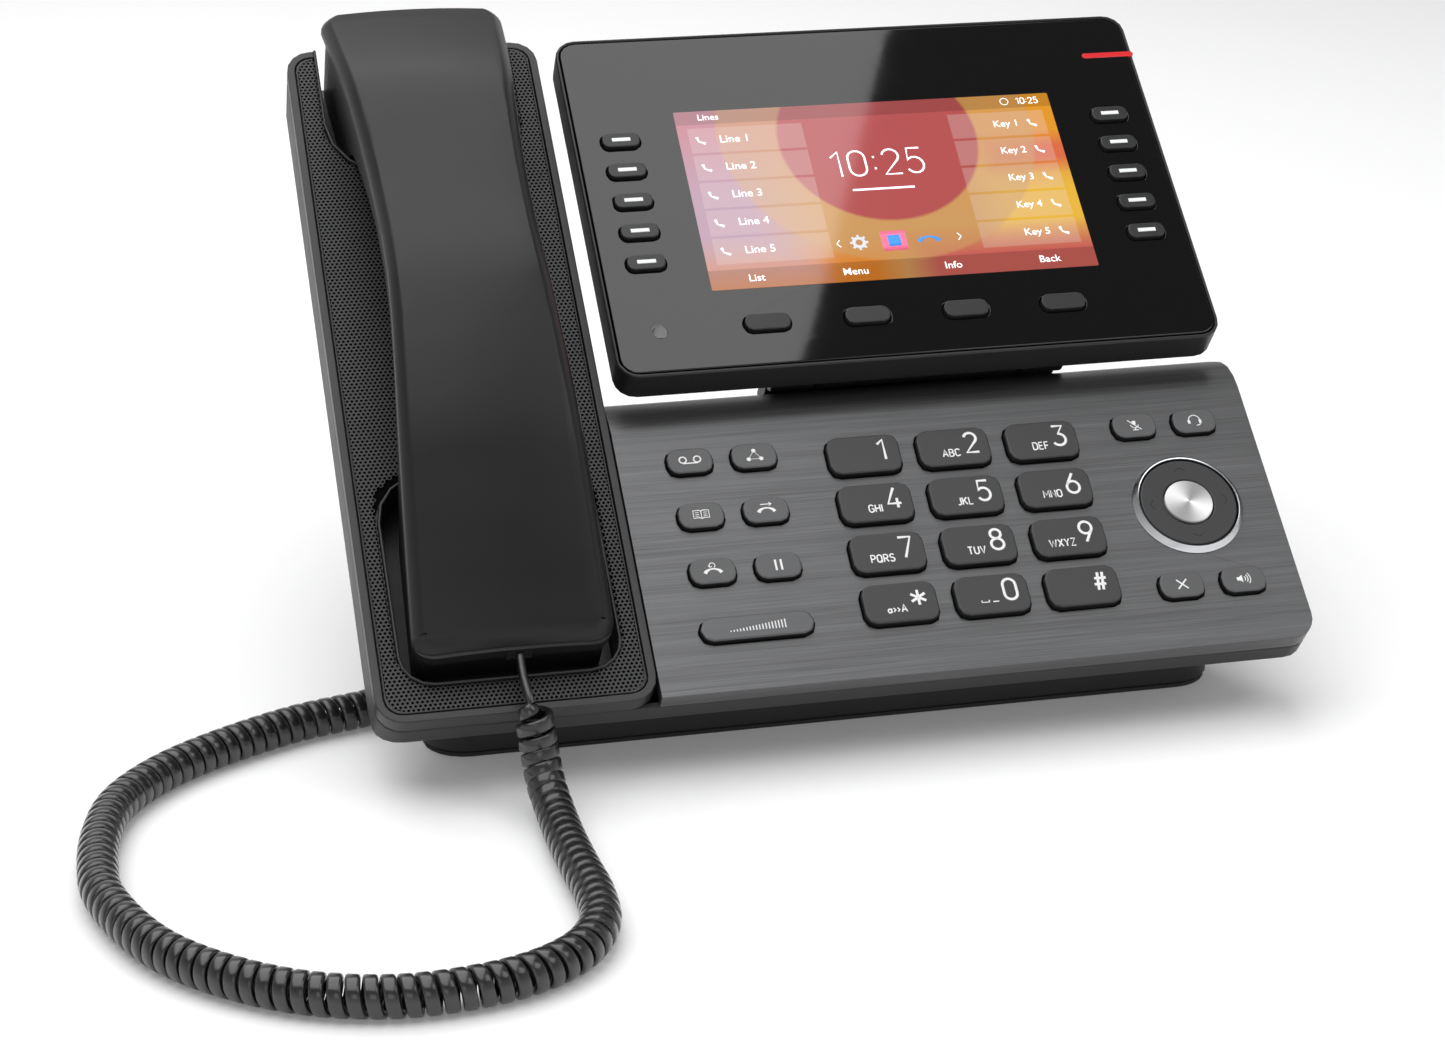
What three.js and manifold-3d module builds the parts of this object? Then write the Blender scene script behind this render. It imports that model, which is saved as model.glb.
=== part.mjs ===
// Desk phone with a corded handset, a tilting colour display and a keypad.
//
// All sizes are in millimetres. The body is a slab that leans back on a stand, so most pieces are
// drawn in the slab's own axes and tilted together: x runs to the right, y up the slope and z out of
// the top face. The stand and the cord are drawn in level axes, with z measured up from the floor.

import * as THREE from 'three';
import { mergeVertices } from 'three/addons/utils/BufferGeometryUtils.js';
import Module from 'manifold-3d';

const wasm = await Module();
wasm.setup();

// ---------------------------------------------------------------------------------------------
// Driving dimensions
// ---------------------------------------------------------------------------------------------

const tilt = THREE.MathUtils.degToRad(37.4); // slope of the top face
const frontEdgeHeight = 24; // height of the slab's front top edge above the floor
const fit = 0.3; // gap between two pieces that touch
const overshoot = 1; // how far a cutting solid reaches past what it cuts

const body = {
  width: 249.3,
  depth: 20, // top face to underside
  lip: 4.8, // height of the upper shells' outer wall
  frontWall: 11, // height of the front wall before the underside cuts in
  undercut: 14, // distance up the slope at which the full depth is reached
  wall: 2,
  corner: 7,
};

const module_ = { width: 71.4, length: 217 };

const panel = {
  flat: 80, // length of the flat part, up the slope
  roll: 17, // radius of the rolled rear edge
  sheet: 1.6,
};

const grille = { border: 2.2, thickness: 1, recess: 0.1 };

const well = { centre: 35.6, wall: 1.6, rimWidth: 0.8, rimHeight: 0.6 };
const mouthWell = { halfWidth: 27.8, start: 10.3, end: 72, depth: 12, corner: 8, upperCorner: 14 };
const earWell = { halfWidth: 26.8, start: 172, corner: 18, depthAtStart: 12, depthAtEnd: 17 };

const speaker = { y: 123, radius: 20, height: 9, basketStep: 3, magnetRadius: 12, opening: 18.5 };
const speakerFacets = 32; // straight sides round the driver

const handset = {
  start: 12.5,
  end: 222,
  endHalfWidth: 25.6,
  corner: 6,
  outerDepth: 5, // thickness of the band that the outer shell covers
  wall: 2,
  inset: 1.2, // the inner shell stands back from the outer shell's edge by this
  restGap: 0.4, // between the caps and the floors of the wells
};
// Half width of the grip at stations up the slope, and height of the outer face at its own stations.
const handsetWaist = [[60, 23.8], [115, 20.8], [160, 21.6], [200, 24.6]];
const crownSteps = 22; // points along the outer face's curve
const gripSteps = 14; // points along each cap's underside
const handsetCrown = [
  [17, 14.4], [40, 22.8], [70, 33], [100, 38.3], [118, 37.8], [145, 33.3], [172, 29.5], [186, 26.8],
  [203, 20.4], [219.5, 13.2],
];
const mouthCap = {
  start: 16.5, end: 56, chamfer: 3, underGrip: [[63, -3], [70, 3.8], [82, 10.5], [110, 18.5]],
};
const earCap = { start: 184, end: 217, chamfer: 3, underGrip: [[140, 17], [162, 10], [175.5, 4], [181, -4]] };

const keyTravel = 1.2;
const rockGap = 0.9; // room for the flange of a piece that rocks
const key = { clearance: 0.35, flange: 1.1, flangeThickness: 1 };
const digitKey = {
  middleX: 163.27, y: 66.5, gapX: 4.97, gapY: 3.79, width: 20, height: 11.6, corner: 2.8, rise: 2,
};
const digitGrid = {
  x: digitKey.middleX - digitKey.width - digitKey.gapX,
  y: digitKey.y,
  pitchX: digitKey.width + digitKey.gapX,
  pitchY: digitKey.height + digitKey.gapY,
};
const functionKey = { width: 12.2, height: 7.6, corner: 2.6, rise: 1.7 };
const leftFunctionKeys = { x: 91, y: 69, pitchX: 17.5, pitchY: 17.1 };
const rightFunctionKeys = { x: 215.4, y: 69.1, pitchX: 17.4, pitchY: 50.9 };
const volumeKey = { x: 99.6, y: 17.4, width: 30, height: 6.8, corner: 3, rise: 1.7 };
const nav = { x: 224.2, y: 43.4, ringRadius: 13.4, okRadius: 6.65, ringRise: 1.5, okRise: 1.9 };

const board = { thickness: 1.6, margin: 4.5 };

const display = {
  left: 74.4,
  bottom: 90,
  width: 170,
  height: 116.6,
  back: 1.4, // height of the rear face above the slab's top face
  thickness: 10,
  corner: 6,
  rim: 1,
  wall: 2.2,
  floor: 2,
  glass: 1.8,
};
const screen = { left: 104.35, bottom: 116.3, width: 110.5, height: 62.2, border: 3.4, depth: 3.7 };
const lineKey = { width: 10.6, height: 4.8, corner: 1.7, rise: 1.3, offset: 16.5, top: 52.7, pitch: 10.59 };
const softKey = { width: 12.6, height: 5.2, corner: 2, rise: 1.3, offset: 13.1, below: 11.9, pitch: 27.94 };

const hinge = {
  y: 98.5, z: -4.5, radius: 4.7, pin: 2, left: 118.9, width: 83.7, ear: 12.5, knuckleHalf: 3.76,
};
const neck = { gap: 0.6, thickness: 5.6, beamTop: -10 };

const jack = { x: 26, y: 92, width: 10.2, height: 8.6, depth: 10, wall: 1.6 };
const networkJack = { firstX: 43, secondX: 60, y: 92, width: 12, height: 9.5, depth: 9.5 };
const plug = { protrude: 2.5 };
const handsetJack = { x: 36.7, z: 6.4, width: 7, height: 4.4, depth: 8, wall: 1.2 };

const hookSwitch = { y: 60, width: 6, length: 4, flange: 1, flangeThickness: 1, travel: 2.4, proud: 0.1 };

const stand = {
  left: 15,
  width: 218,
  front: 26.3,
  barDepth: 17.7,
  plateLeft: 40,
  plateWidth: 168,
  back: 150,
  corner: 12,
  plate: 3,
  frontWall: 4,
  legThickness: 6,
  sideLeg: { left: 46, width: 20, front: 112 },
  middleLeg: { left: 126, width: 70, front: 80 },
};
const sole = { thickness: 1.2, margin: 0.6, width: 9 };

const cord = { coilDiameter: 10, leadDiameter: 3.2, coilSides: 12, leadSides: 8, coilSteps: 40 };
// Centre line of the coiled stretch, in level axes, from the handset end to the base end.
const coilRoute = [
  [37.5, -5, 28], [38.3, -6.5, 22.6], [39, -8, 15.8], [39.6, -12, 9.6], [40.4, -20, 5.8],
  [40.6, -34, 5.1], [41.2, -49, 5.1], [42, -64, 5.1], [40.5, -77.5, 5.1], [34.5, -88, 5.1],
  [25, -95, 5.1], [12, -99.2, 5.1], [-10, -99.7, 5.1], [-33, -91, 5.1], [-56.5, -69, 5.1],
  [-69, -39.5, 5.1], [-70.1, -23, 5.1], [-68.6, -6.5, 5.1], [-64.5, 8.5, 5.1], [-56, 21, 5.1],
  [-43.5, 32, 5.1], [-17.5, 46.5, 5.1], [3.9, 53, 5.1], [15, 57.5, 5.4], [23, 64, 7.5], [26.5, 71, 12],
];
// The straight lead from the end of the coil up to the plug under the base, less its two ends.
const baseLeadBends = [[27.3, 75, 17.5], [27.8, 81, 27], [27.5, 88, 39], [26.6, 92, 49]];

// ---------------------------------------------------------------------------------------------
// Finishes
// ---------------------------------------------------------------------------------------------

const finish = (color, roughness, metalness = 0) =>
  new THREE.MeshStandardMaterial({ color, roughness, metalness });

// ---------------------------------------------------------------------------------------------
// Solids
// ---------------------------------------------------------------------------------------------

/** Turns a closed three.js geometry into a solid that can be joined and cut. */
function toSolid(geometry) {
  geometry.deleteAttribute('normal');
  geometry.deleteAttribute('uv');
  const merged = mergeVertices(geometry, 1e-4);
  return new wasm.Manifold(new wasm.Mesh({
    numProp: 3,
    vertProperties: new Float32Array(merged.attributes.position.array),
    triVerts: new Uint32Array(merged.index.array),
  }));
}

/** Turns a solid back into a three.js geometry. */
function toGeometry(solid) {
  const mesh = solid.getMesh();
  const geometry = new THREE.BufferGeometry();
  geometry.setAttribute('position', new THREE.BufferAttribute(mesh.vertProperties, 3));
  geometry.setIndex(new THREE.BufferAttribute(mesh.triVerts, 1));
  geometry.computeVertexNormals();
  return geometry;
}

/** Upright prism of a shape drawn in x and y. */
function prism(shape, low, high, curveSegments = 2) {
  const geometry = new THREE.ExtrudeGeometry(
    shape, { depth: high - low, bevelEnabled: false, curveSegments });
  return toSolid(geometry.translate(0, 0, low));
}

/** Prism along x of a shape drawn in y and z. */
function sidePrism(shape, left, right, curveSegments = 3) {
  const geometry = new THREE.ExtrudeGeometry(
    shape, { depth: right - left, bevelEnabled: false, curveSegments });
  const turn = new THREE.Matrix4().makeBasis(
    new THREE.Vector3(0, 1, 0), new THREE.Vector3(0, 0, 1), new THREE.Vector3(1, 0, 0));
  return toSolid(geometry.applyMatrix4(turn).translate(left, 0, 0));
}

/** Box between two corners. */
function block(left, right, front, back, low, high) {
  const geometry = new THREE.BoxGeometry(right - left, back - front, high - low);
  return toSolid(geometry.translate((left + right) / 2, (front + back) / 2, (low + high) / 2));
}

/** Upright disc. */
function disc(x, y, radius, low, high, segments = 40) {
  const geometry = new THREE.CylinderGeometry(radius, radius, high - low, segments);
  return toSolid(geometry.rotateX(Math.PI / 2).translate(x, y, (low + high) / 2));
}

/** Rod along x. */
function rod(left, right, y, z, radius, segments = 24) {
  const geometry = new THREE.CylinderGeometry(radius, radius, right - left, segments);
  return toSolid(geometry.rotateZ(Math.PI / 2).translate((left + right) / 2, y, z));
}

/** Closed outline through straight points. */
function polygon(points) {
  return new THREE.Shape(points.map(([a, b]) => new THREE.Vector2(a, b)));
}

/** Rectangle with round corners, whose upper corners may have a radius of their own. */
function roundedRectangle(left, right, bottom, top, radius, upperRadius = radius) {
  const quarter = Math.PI / 2;
  const shape = new THREE.Shape();
  shape.moveTo(left + radius, bottom);
  shape.absarc(right - radius, bottom + radius, radius, -quarter, 0, false);
  shape.absarc(right - upperRadius, top - upperRadius, upperRadius, 0, quarter, false);
  shape.absarc(left + upperRadius, top - upperRadius, upperRadius, quarter, 2 * quarter, false);
  shape.absarc(left + radius, bottom + radius, radius, 2 * quarter, 3 * quarter, false);
  return shape;
}

/** Rounded rectangle about a centre, grown by a margin on every side. */
function keyOutline(x, y, size, grow = 0) {
  const halfWidth = size.width / 2 + grow;
  const halfHeight = size.height / 2 + grow;
  return roundedRectangle(x - halfWidth, x + halfWidth, y - halfHeight, y + halfHeight, size.corner + grow);
}

/** Joins a list of solids. */
const join = (solids) => solids.reduce((whole, solid) => whole.add(solid));

// ---------------------------------------------------------------------------------------------
// Shared outlines
// ---------------------------------------------------------------------------------------------

const panelLeft = module_.width + fit;
const panelBack = panel.flat + panel.roll;
const shellTop = -body.lip - fit; // top of the base housing's wall

/** Outline of the left module, shrunk by an inset. */
function moduleOutline(inset) {
  return roundedRectangle(
    inset, module_.width - inset, inset, module_.length - inset, Math.max(body.corner - inset, 1));
}

/** Outline of the right part, under the keypad panel, shrunk by an inset. */
function keypadOutline(left, inset) {
  const corner = Math.max(body.corner - inset, 1);
  const right = body.width - inset;
  const shape = new THREE.Shape();
  shape.moveTo(left, panelBack - inset);
  shape.lineTo(left, inset);
  shape.absarc(right - corner, inset + corner, corner, -Math.PI / 2, 0, false);
  shape.absarc(right - corner, panelBack - inset - corner, corner, 0, Math.PI / 2, false);
  return shape;
}

/** Side view of the slab below the shells, shrunk by an inset. */
function undersideOutline(inset, top) {
  const end = module_.length + overshoot;
  return polygon([
    [inset, top], [inset, -body.frontWall + inset / 2], [body.undercut + inset / 2, -body.depth + inset],
    [end, -body.depth + inset], [end, top],
  ]);
}

/** Side view of the panel's top face and rolled edge, shrunk by a sheet thickness. */
function rollOutline(inset, low) {
  const shape = new THREE.Shape();
  shape.moveTo(inset, low);
  shape.lineTo(inset, -inset);
  shape.lineTo(panel.flat, -inset);
  shape.absarc(panel.flat, -panel.roll, panel.roll - inset, Math.PI / 2, 0, true);
  shape.lineTo(panelBack - inset, low);
  return shape;
}

/** Outline of the mouth well, grown by a margin. */
function mouthWellOutline(grow) {
  return roundedRectangle(
    well.centre - mouthWell.halfWidth - grow, well.centre + mouthWell.halfWidth + grow,
    mouthWell.start - grow, mouthWell.end + grow, mouthWell.corner + grow, mouthWell.upperCorner + grow);
}

/** Outline of the ear well, which runs out through the module's upper end, grown by a margin. */
function earWellOutline(grow) {
  const left = well.centre - earWell.halfWidth - grow;
  const right = well.centre + earWell.halfWidth + grow;
  const corner = earWell.corner + grow;
  const bottom = earWell.start - grow;
  const end = module_.length + 2 * overshoot;
  const shape = new THREE.Shape();
  shape.moveTo(left + corner, bottom);
  shape.absarc(right - corner, bottom + corner, corner, -Math.PI / 2, 0, false);
  shape.lineTo(right, end);
  shape.lineTo(left, end);
  shape.absarc(left + corner, bottom + corner, corner, Math.PI, 1.5 * Math.PI, false);
  return shape;
}

/** Height of the ear well's floor at a station up the slope. */
function earFloor(y) {
  const share = (y - earWell.start) / (module_.length - earWell.start);
  return -THREE.MathUtils.lerp(earWell.depthAtStart, earWell.depthAtEnd, share);
}

/** Everything above the ear well's floor, lowered by a drop. */
function aboveEarFloor(drop, top) {
  const start = earWell.start - well.wall - overshoot;
  const end = module_.length + 2 * overshoot;
  const outline = polygon(
    [[start, earFloor(start) - drop], [end, earFloor(end) - drop], [end, top], [start, top]]);
  return sidePrism(outline, -overshoot, module_.width + overshoot);
}

// ---------------------------------------------------------------------------------------------
// Keys
// ---------------------------------------------------------------------------------------------

const digitNames = ['key_1', 'key_2', 'key_3', 'key_4', 'key_5', 'key_6', 'key_7', 'key_8', 'key_9',
  'key_star', 'key_0', 'key_hash'];
const leftFunctionNames = ['key_voicemail', 'key_conference', 'key_directory', 'key_transfer', 'key_redial',
  'key_hold'];
const rightFunctionNames = ['key_mute', 'key_headset', 'key_cancel', 'key_speaker'];

/** Centres of a grid of keys, row by row from the top left. */
function gridOf(names, columns, grid, size) {
  return names.map((name, index) => ({
    name,
    x: grid.x + (index % columns) * grid.pitchX,
    y: grid.y - Math.floor(index / columns) * grid.pitchY,
    size,
  }));
}

const digitKeys = gridOf(digitNames, 3, digitGrid, digitKey);
const functionKeys = [
  ...gridOf(leftFunctionNames, 2, leftFunctionKeys, functionKey),
  ...gridOf(rightFunctionNames, 2, rightFunctionKeys, functionKey),
];
const volume = { name: 'volume_rocker', x: volumeKey.x, y: volumeKey.y, size: volumeKey };
const panelKeys = [...digitKeys, ...functionKeys];

const lineKeys = ['left', 'right'].flatMap((side) => Array.from({ length: 5 }, (unused, row) => ({
  name: `line_key_${side}_${row + 1}`,
  x: side === 'left' ? screen.left - lineKey.offset : screen.left + screen.width + lineKey.offset,
  y: screen.bottom + lineKey.top - row * lineKey.pitch,
  size: lineKey,
})));
const softKeys = Array.from({ length: 4 }, (unused, column) => ({
  name: `soft_key_${column + 1}`,
  x: screen.left + softKey.offset + column * softKey.pitch,
  y: screen.bottom - softKey.below,
  size: softKey,
}));
const displayKeys = [...lineKeys, ...softKeys];

/** Key cap with a square flange that keeps it behind its sheet. */
function keySolid({ x, y, size }, face, flangeTop) {
  const cap = prism(keyOutline(x, y, size), flangeTop - key.flangeThickness, face + size.rise, 1);
  const halfWidth = size.width / 2 + key.flange;
  const halfHeight = size.height / 2 + key.flange;
  const flange = block(
    x - halfWidth, x + halfWidth, y - halfHeight, y + halfHeight, flangeTop - key.flangeThickness, flangeTop);
  return cap.add(flange);
}

/** Hole through a sheet for each key. */
function keyHoles(keys, low, high) {
  return join(keys.map(({ x, y, size }) => prism(keyOutline(x, y, size, key.clearance), low, high, 1)));
}

const panelUnderside = -panel.sheet;
const keyFlangeTop = panelUnderside - fit;
const rockFlangeTop = panelUnderside - rockGap;
const boardTop = keyFlangeTop - key.flangeThickness - keyTravel - 2 * fit;

function navRing() {
  const low = rockFlangeTop - key.flangeThickness;
  const ring = disc(nav.x, nav.y, nav.ringRadius, low, nav.ringRise)
    .add(disc(nav.x, nav.y, nav.ringRadius + key.flange, low, rockFlangeTop));
  return ring.subtract(
    disc(nav.x, nav.y, nav.okRadius + key.clearance, low - overshoot, nav.ringRise + overshoot));
}

function navOkButton() {
  return disc(nav.x, nav.y, nav.okRadius, boardTop + keyTravel + fit, nav.okRise);
}

// ---------------------------------------------------------------------------------------------
// Body
// ---------------------------------------------------------------------------------------------

/** Socket box that hangs inside the housing's floor; the cut goes in through the underside. */
function socketBox(x, socket, wall) {
  return block(
    x - socket.width / 2 - wall, x + socket.width / 2 + wall,
    socket.y - socket.height / 2 - wall, socket.y + socket.height / 2 + wall,
    -body.depth, -body.depth + socket.depth + wall);
}

function socketCut(x, socket) {
  return block(
    x - socket.width / 2, x + socket.width / 2, socket.y - socket.height / 2, socket.y + socket.height / 2,
    -body.depth - overshoot, -body.depth + socket.depth);
}

const sockets = [[jack.x, jack], [networkJack.firstX, networkJack], [networkJack.secondX, networkJack]];

function baseHousing() {
  const low = -body.depth;
  const outer = prism(moduleOutline(0), low, shellTop).add(prism(keypadOutline(body.corner, 0), low, shellTop))
    .add(block(body.corner, module_.width + body.corner, 0, panelBack, low, shellTop))
    .intersect(sidePrism(undersideOutline(0, shellTop), -overshoot, body.width + overshoot));
  const hollow = prism(moduleOutline(body.wall), low, 0)
    .add(block(body.corner, module_.width + body.corner, body.wall, panelBack - body.wall, low, 0))
    .add(prism(keypadOutline(body.corner, body.wall), low, 0))
    .intersect(sidePrism(undersideOutline(body.wall, 0), -overshoot, body.width + overshoot));
  const underRoll = block(
    panelLeft - fit, body.width + overshoot, panel.flat - fit, panelBack + overshoot, -panel.roll - fit, 0);
  const earRoom = prism(earWellOutline(well.wall + fit), low - overshoot, 0)
    .intersect(aboveEarFloor(well.wall + fit, overshoot));
  const boxes = join(sockets.map(([x, socket]) => socketBox(x, socket, jack.wall)));
  const cuts = join(sockets.map(([x, socket]) => socketCut(x, socket)));
  return outer.subtract(hollow).subtract(underRoll).subtract(earRoom).add(boxes).subtract(cuts);
}

const grilleTop = -grille.recess;
const deckTop = grilleTop - grille.thickness - fit;
const deckBottom = deckTop - body.wall;

/** Upper shell of the left module: border, deck under the grille and the two wells. */
function cradleFrame() {
  const mouthFloor = -mouthWell.depth;
  const shell = prism(moduleOutline(0), -body.lip, 0)
    .subtract(prism(moduleOutline(body.wall), -body.lip - overshoot, deckBottom))
    .subtract(prism(moduleOutline(grille.border), deckTop, overshoot))
    .subtract(disc(well.centre, speaker.y, speaker.opening, -body.lip, overshoot));
  const mouthCup = prism(mouthWellOutline(well.wall), mouthFloor - well.wall, deckTop)
    .add(prism(mouthWellOutline(well.rimWidth), deckTop - overshoot, well.rimHeight));
  const earSpan = block(0, module_.width, earWell.start - well.wall, module_.length, -body.depth, overshoot);
  const earCup = prism(earWellOutline(well.wall), -body.depth, deckTop)
    .add(prism(earWellOutline(well.rimWidth), deckTop - overshoot, well.rimHeight))
    .intersect(aboveEarFloor(well.wall, overshoot)).intersect(earSpan);
  const mouthHollow = prism(mouthWellOutline(0), mouthFloor, overshoot);
  const earHollow = prism(earWellOutline(0), -body.depth, overshoot).intersect(aboveEarFloor(0, overshoot));
  const hookSlot = block(
    well.centre - hookSwitch.width / 2 - fit, well.centre + hookSwitch.width / 2 + fit,
    hookSwitch.y - hookSwitch.length / 2 - fit, hookSwitch.y + hookSwitch.length / 2 + fit,
    mouthFloor - well.wall - overshoot, mouthFloor + overshoot);
  return shell.add(mouthCup).add(earCup).subtract(mouthHollow).subtract(earHollow).subtract(hookSlot);
}

/** Flat cover of the left module, which is perforated all over. */
function speakerGrille() {
  const low = grilleTop - grille.thickness;
  const cut = well.rimWidth + fit;
  return prism(moduleOutline(grille.border + fit), low, grilleTop)
    .subtract(prism(mouthWellOutline(cut), low - overshoot, overshoot))
    .subtract(prism(earWellOutline(cut), low - overshoot, overshoot));
}

function speakerDriver() {
  const top = deckBottom - fit;
  return disc(well.centre, speaker.y, speaker.radius, top - speaker.basketStep, top, speakerFacets)
    .add(disc(well.centre, speaker.y, speaker.magnetRadius, top - speaker.height, top, speakerFacets));
}

function hookPlunger() {
  const slide = -mouthWell.depth - well.wall - hookSwitch.travel - fit;
  const stem = block(
    well.centre - hookSwitch.width / 2, well.centre + hookSwitch.width / 2,
    hookSwitch.y - hookSwitch.length / 2, hookSwitch.y + hookSwitch.length / 2,
    slide - hookSwitch.flangeThickness, -mouthWell.depth + hookSwitch.proud);
  const reach = hookSwitch.width / 2 + hookSwitch.flange;
  const half = hookSwitch.length / 2 + hookSwitch.flange;
  return stem.add(block(
    well.centre - reach, well.centre + reach, hookSwitch.y - half, hookSwitch.y + half,
    slide - hookSwitch.flangeThickness, slide));
}

/** Sheet-metal keypad panel: flat top, short front and side walls and a rolled rear edge. */
function keypadPanel() {
  const wallLow = Math.min(-body.lip, -panel.roll);
  const outer = sidePrism(rollOutline(0, wallLow), panelLeft, body.width)
    .intersect(prism(keypadOutline(panelLeft, 0), wallLow, 0, 3))
    .subtract(block(panelLeft - overshoot, body.width + overshoot, -overshoot, panel.flat,
      wallLow - overshoot, -body.lip));
  const inner = sidePrism(rollOutline(panel.sheet, wallLow - overshoot), panelLeft, body.width)
    .intersect(prism(keypadOutline(panelLeft + panel.sheet, panel.sheet), wallLow - overshoot, 0, 3));
  const navHole = disc(nav.x, nav.y, nav.ringRadius + key.clearance, -panel.sheet - overshoot, overshoot);
  return outer.subtract(inner)
    .subtract(keyHoles([...panelKeys, volume], -panel.sheet - overshoot, overshoot))
    .subtract(navHole);
}

function mainBoard() {
  return prism(
    roundedRectangle(panelLeft + board.margin, body.width - board.margin, board.margin + panel.sheet,
      panel.flat - board.margin, 2),
    boardTop - board.thickness, boardTop);
}

// ---------------------------------------------------------------------------------------------
// Display
// ---------------------------------------------------------------------------------------------

const displayFront = display.back + display.thickness;
const displayRight = display.left + display.width;
const displayTop = display.bottom + display.height;
const glassBack = displayFront - display.glass;
const hingeRight = hinge.left + hinge.width;

/** Outline of the display, shrunk by an inset. */
function displayOutline(inset) {
  return roundedRectangle(
    display.left + inset, displayRight - inset, display.bottom + inset, displayTop - inset,
    display.corner - inset);
}

function displayShell() {
  const box = prism(displayOutline(0), display.back, displayFront)
    .subtract(prism(displayOutline(display.rim), glassBack - fit, displayFront + overshoot))
    .subtract(prism(displayOutline(display.wall), display.back + display.floor, displayFront));
  const left = hinge.left + hinge.ear + fit;
  const right = hingeRight - hinge.ear - fit;
  const knuckle = rod(left, right, hinge.y, hinge.z, hinge.radius)
    .add(block(left, right, hinge.y - hinge.knuckleHalf, hinge.y + hinge.knuckleHalf, hinge.z,
      display.back + display.floor / 2));
  return box.add(knuckle).subtract(
    rod(left - overshoot, right + overshoot, hinge.y, hinge.z, hinge.pin + fit));
}

function displayGlass() {
  const holes = keyHoles(displayKeys, glassBack - overshoot, displayFront + overshoot);
  return prism(displayOutline(display.rim + fit), glassBack, displayFront).subtract(holes);
}

function lcdModule() {
  const margin = screen.border;
  return prism(
    roundedRectangle(screen.left - margin, screen.left + screen.width + margin, screen.bottom - margin,
      screen.bottom + screen.height + margin, 1),
    glassBack - fit - screen.depth, glassBack - fit, 1);
}

/** Bracket behind the keypad panel that carries the display's hinge. */
function neckBracket() {
  const front = panelBack + neck.gap;
  const back = front + neck.thickness;
  const earEnds = [[hinge.left, hinge.left + hinge.ear], [hingeRight - hinge.ear, hingeRight]];
  const ears = join(earEnds.map(([left, right]) => rod(left, right, hinge.y, hinge.z, hinge.radius)
    .add(block(left, right, front, back, -body.depth, hinge.z))));
  return ears.add(block(hinge.left, hingeRight, front, back, -body.depth, neck.beamTop))
    .subtract(rod(hinge.left - overshoot, hingeRight + overshoot, hinge.y, hinge.z, hinge.pin + fit));
}

const hingePin = () => rod(hinge.left, hingeRight, hinge.y, hinge.z, hinge.pin, 16);

// ---------------------------------------------------------------------------------------------
// Handset
// ---------------------------------------------------------------------------------------------

/** Plan view of the handset, waisted in the middle, shrunk by an inset. */
function handsetPlan(inset) {
  const start = handset.start + inset;
  const end = handset.end - inset;
  const half = handset.endHalfWidth - inset;
  const corner = handset.corner;
  const side = handsetWaist.map(([y, halfWidth]) => [y, halfWidth - inset]);
  const at = (sign, [y, halfWidth]) => new THREE.Vector2(well.centre + sign * halfWidth, y);
  const rising = [...side.map((point) => at(1, point)), at(1, [end - corner, half])];
  const falling = [...side.map((point) => at(-1, point)).reverse(), at(-1, [start + corner, half])];
  const quarter = Math.PI / 2;
  const shape = new THREE.Shape();
  shape.moveTo(well.centre - half + corner, start);
  shape.absarc(well.centre + half - corner, start + corner, corner, -quarter, 0, false);
  shape.splineThru(rising);
  shape.absarc(well.centre + half - corner, end - corner, corner, 0, quarter, false);
  shape.absarc(well.centre - half + corner, end - corner, corner, quarter, 2 * quarter, false);
  shape.splineThru(falling);
  shape.absarc(well.centre - half + corner, start + corner, corner, 2 * quarter, 3 * quarter, false);
  return shape;
}

/** Side view of the band under the outer face, between two depths below it. */
function crownBand(upper, lower) {
  const stations = handsetCrown.map(([y, z]) => new THREE.Vector2(y, z));
  const crown = new THREE.SplineCurve(stations).getPoints(crownSteps);
  const [first, last] = [crown[0], crown.at(-1)];
  const edge = (point, y, drop) => new THREE.Vector2(
    y, Math.max(point.y - drop - upper, point.y - lower + fit));
  const top = crown.map(({ x, y }) => new THREE.Vector2(x, y - upper));
  const parting = crown.map(({ x, y }) => new THREE.Vector2(x, y - lower)).reverse();
  return new THREE.Shape([
    edge(first, handset.start, first.x - handset.start), ...top,
    edge(last, handset.end, handset.outerDepth - overshoot),
    new THREE.Vector2(handset.end, last.y - lower), ...parting,
    new THREE.Vector2(handset.start, first.y - lower),
  ]);
}

/** Side view of the space below the outer shell and above the underside raised by an inset. */
function undersideBand(inset) {
  const rest = handset.restGap;
  const mouthBottom = -mouthWell.depth + rest + inset;
  const grip = [...mouthCap.underGrip, ...earCap.underGrip].map(([y, z]) => new THREE.Vector2(y, z + inset));
  const curve = new THREE.SplineCurve(grip).getPoints(gripSteps);
  const tall = handsetCrown.reduce((most, [, z]) => Math.max(most, z), 0);
  const line = [
    [handset.start, tall], [mouthCap.start + inset, mouthBottom + mouthCap.chamfer],
    [mouthCap.start + mouthCap.chamfer, mouthBottom], [mouthCap.end, mouthBottom],
    ...curve.map(({ x, y }) => [x, y]),
    [earCap.start, earFloor(earCap.start) + rest + inset],
    [earCap.end - earCap.chamfer, earFloor(earCap.end) + rest + inset],
    [earCap.end - inset, earFloor(earCap.end) + earCap.chamfer + rest + inset], [handset.end, tall],
  ];
  return polygon(line);
}

const handsetSpan = [0, module_.width];

function handsetOuterShell() {
  const whole = prism(handsetPlan(0), -body.depth, handset.end, 3)
    .intersect(sidePrism(crownBand(0, handset.outerDepth), ...handsetSpan));
  const hollow = prism(handsetPlan(handset.wall), -body.depth, handset.end, 3)
    .intersect(sidePrism(crownBand(handset.wall, handset.outerDepth + overshoot), ...handsetSpan));
  return whole.subtract(hollow);
}

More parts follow.
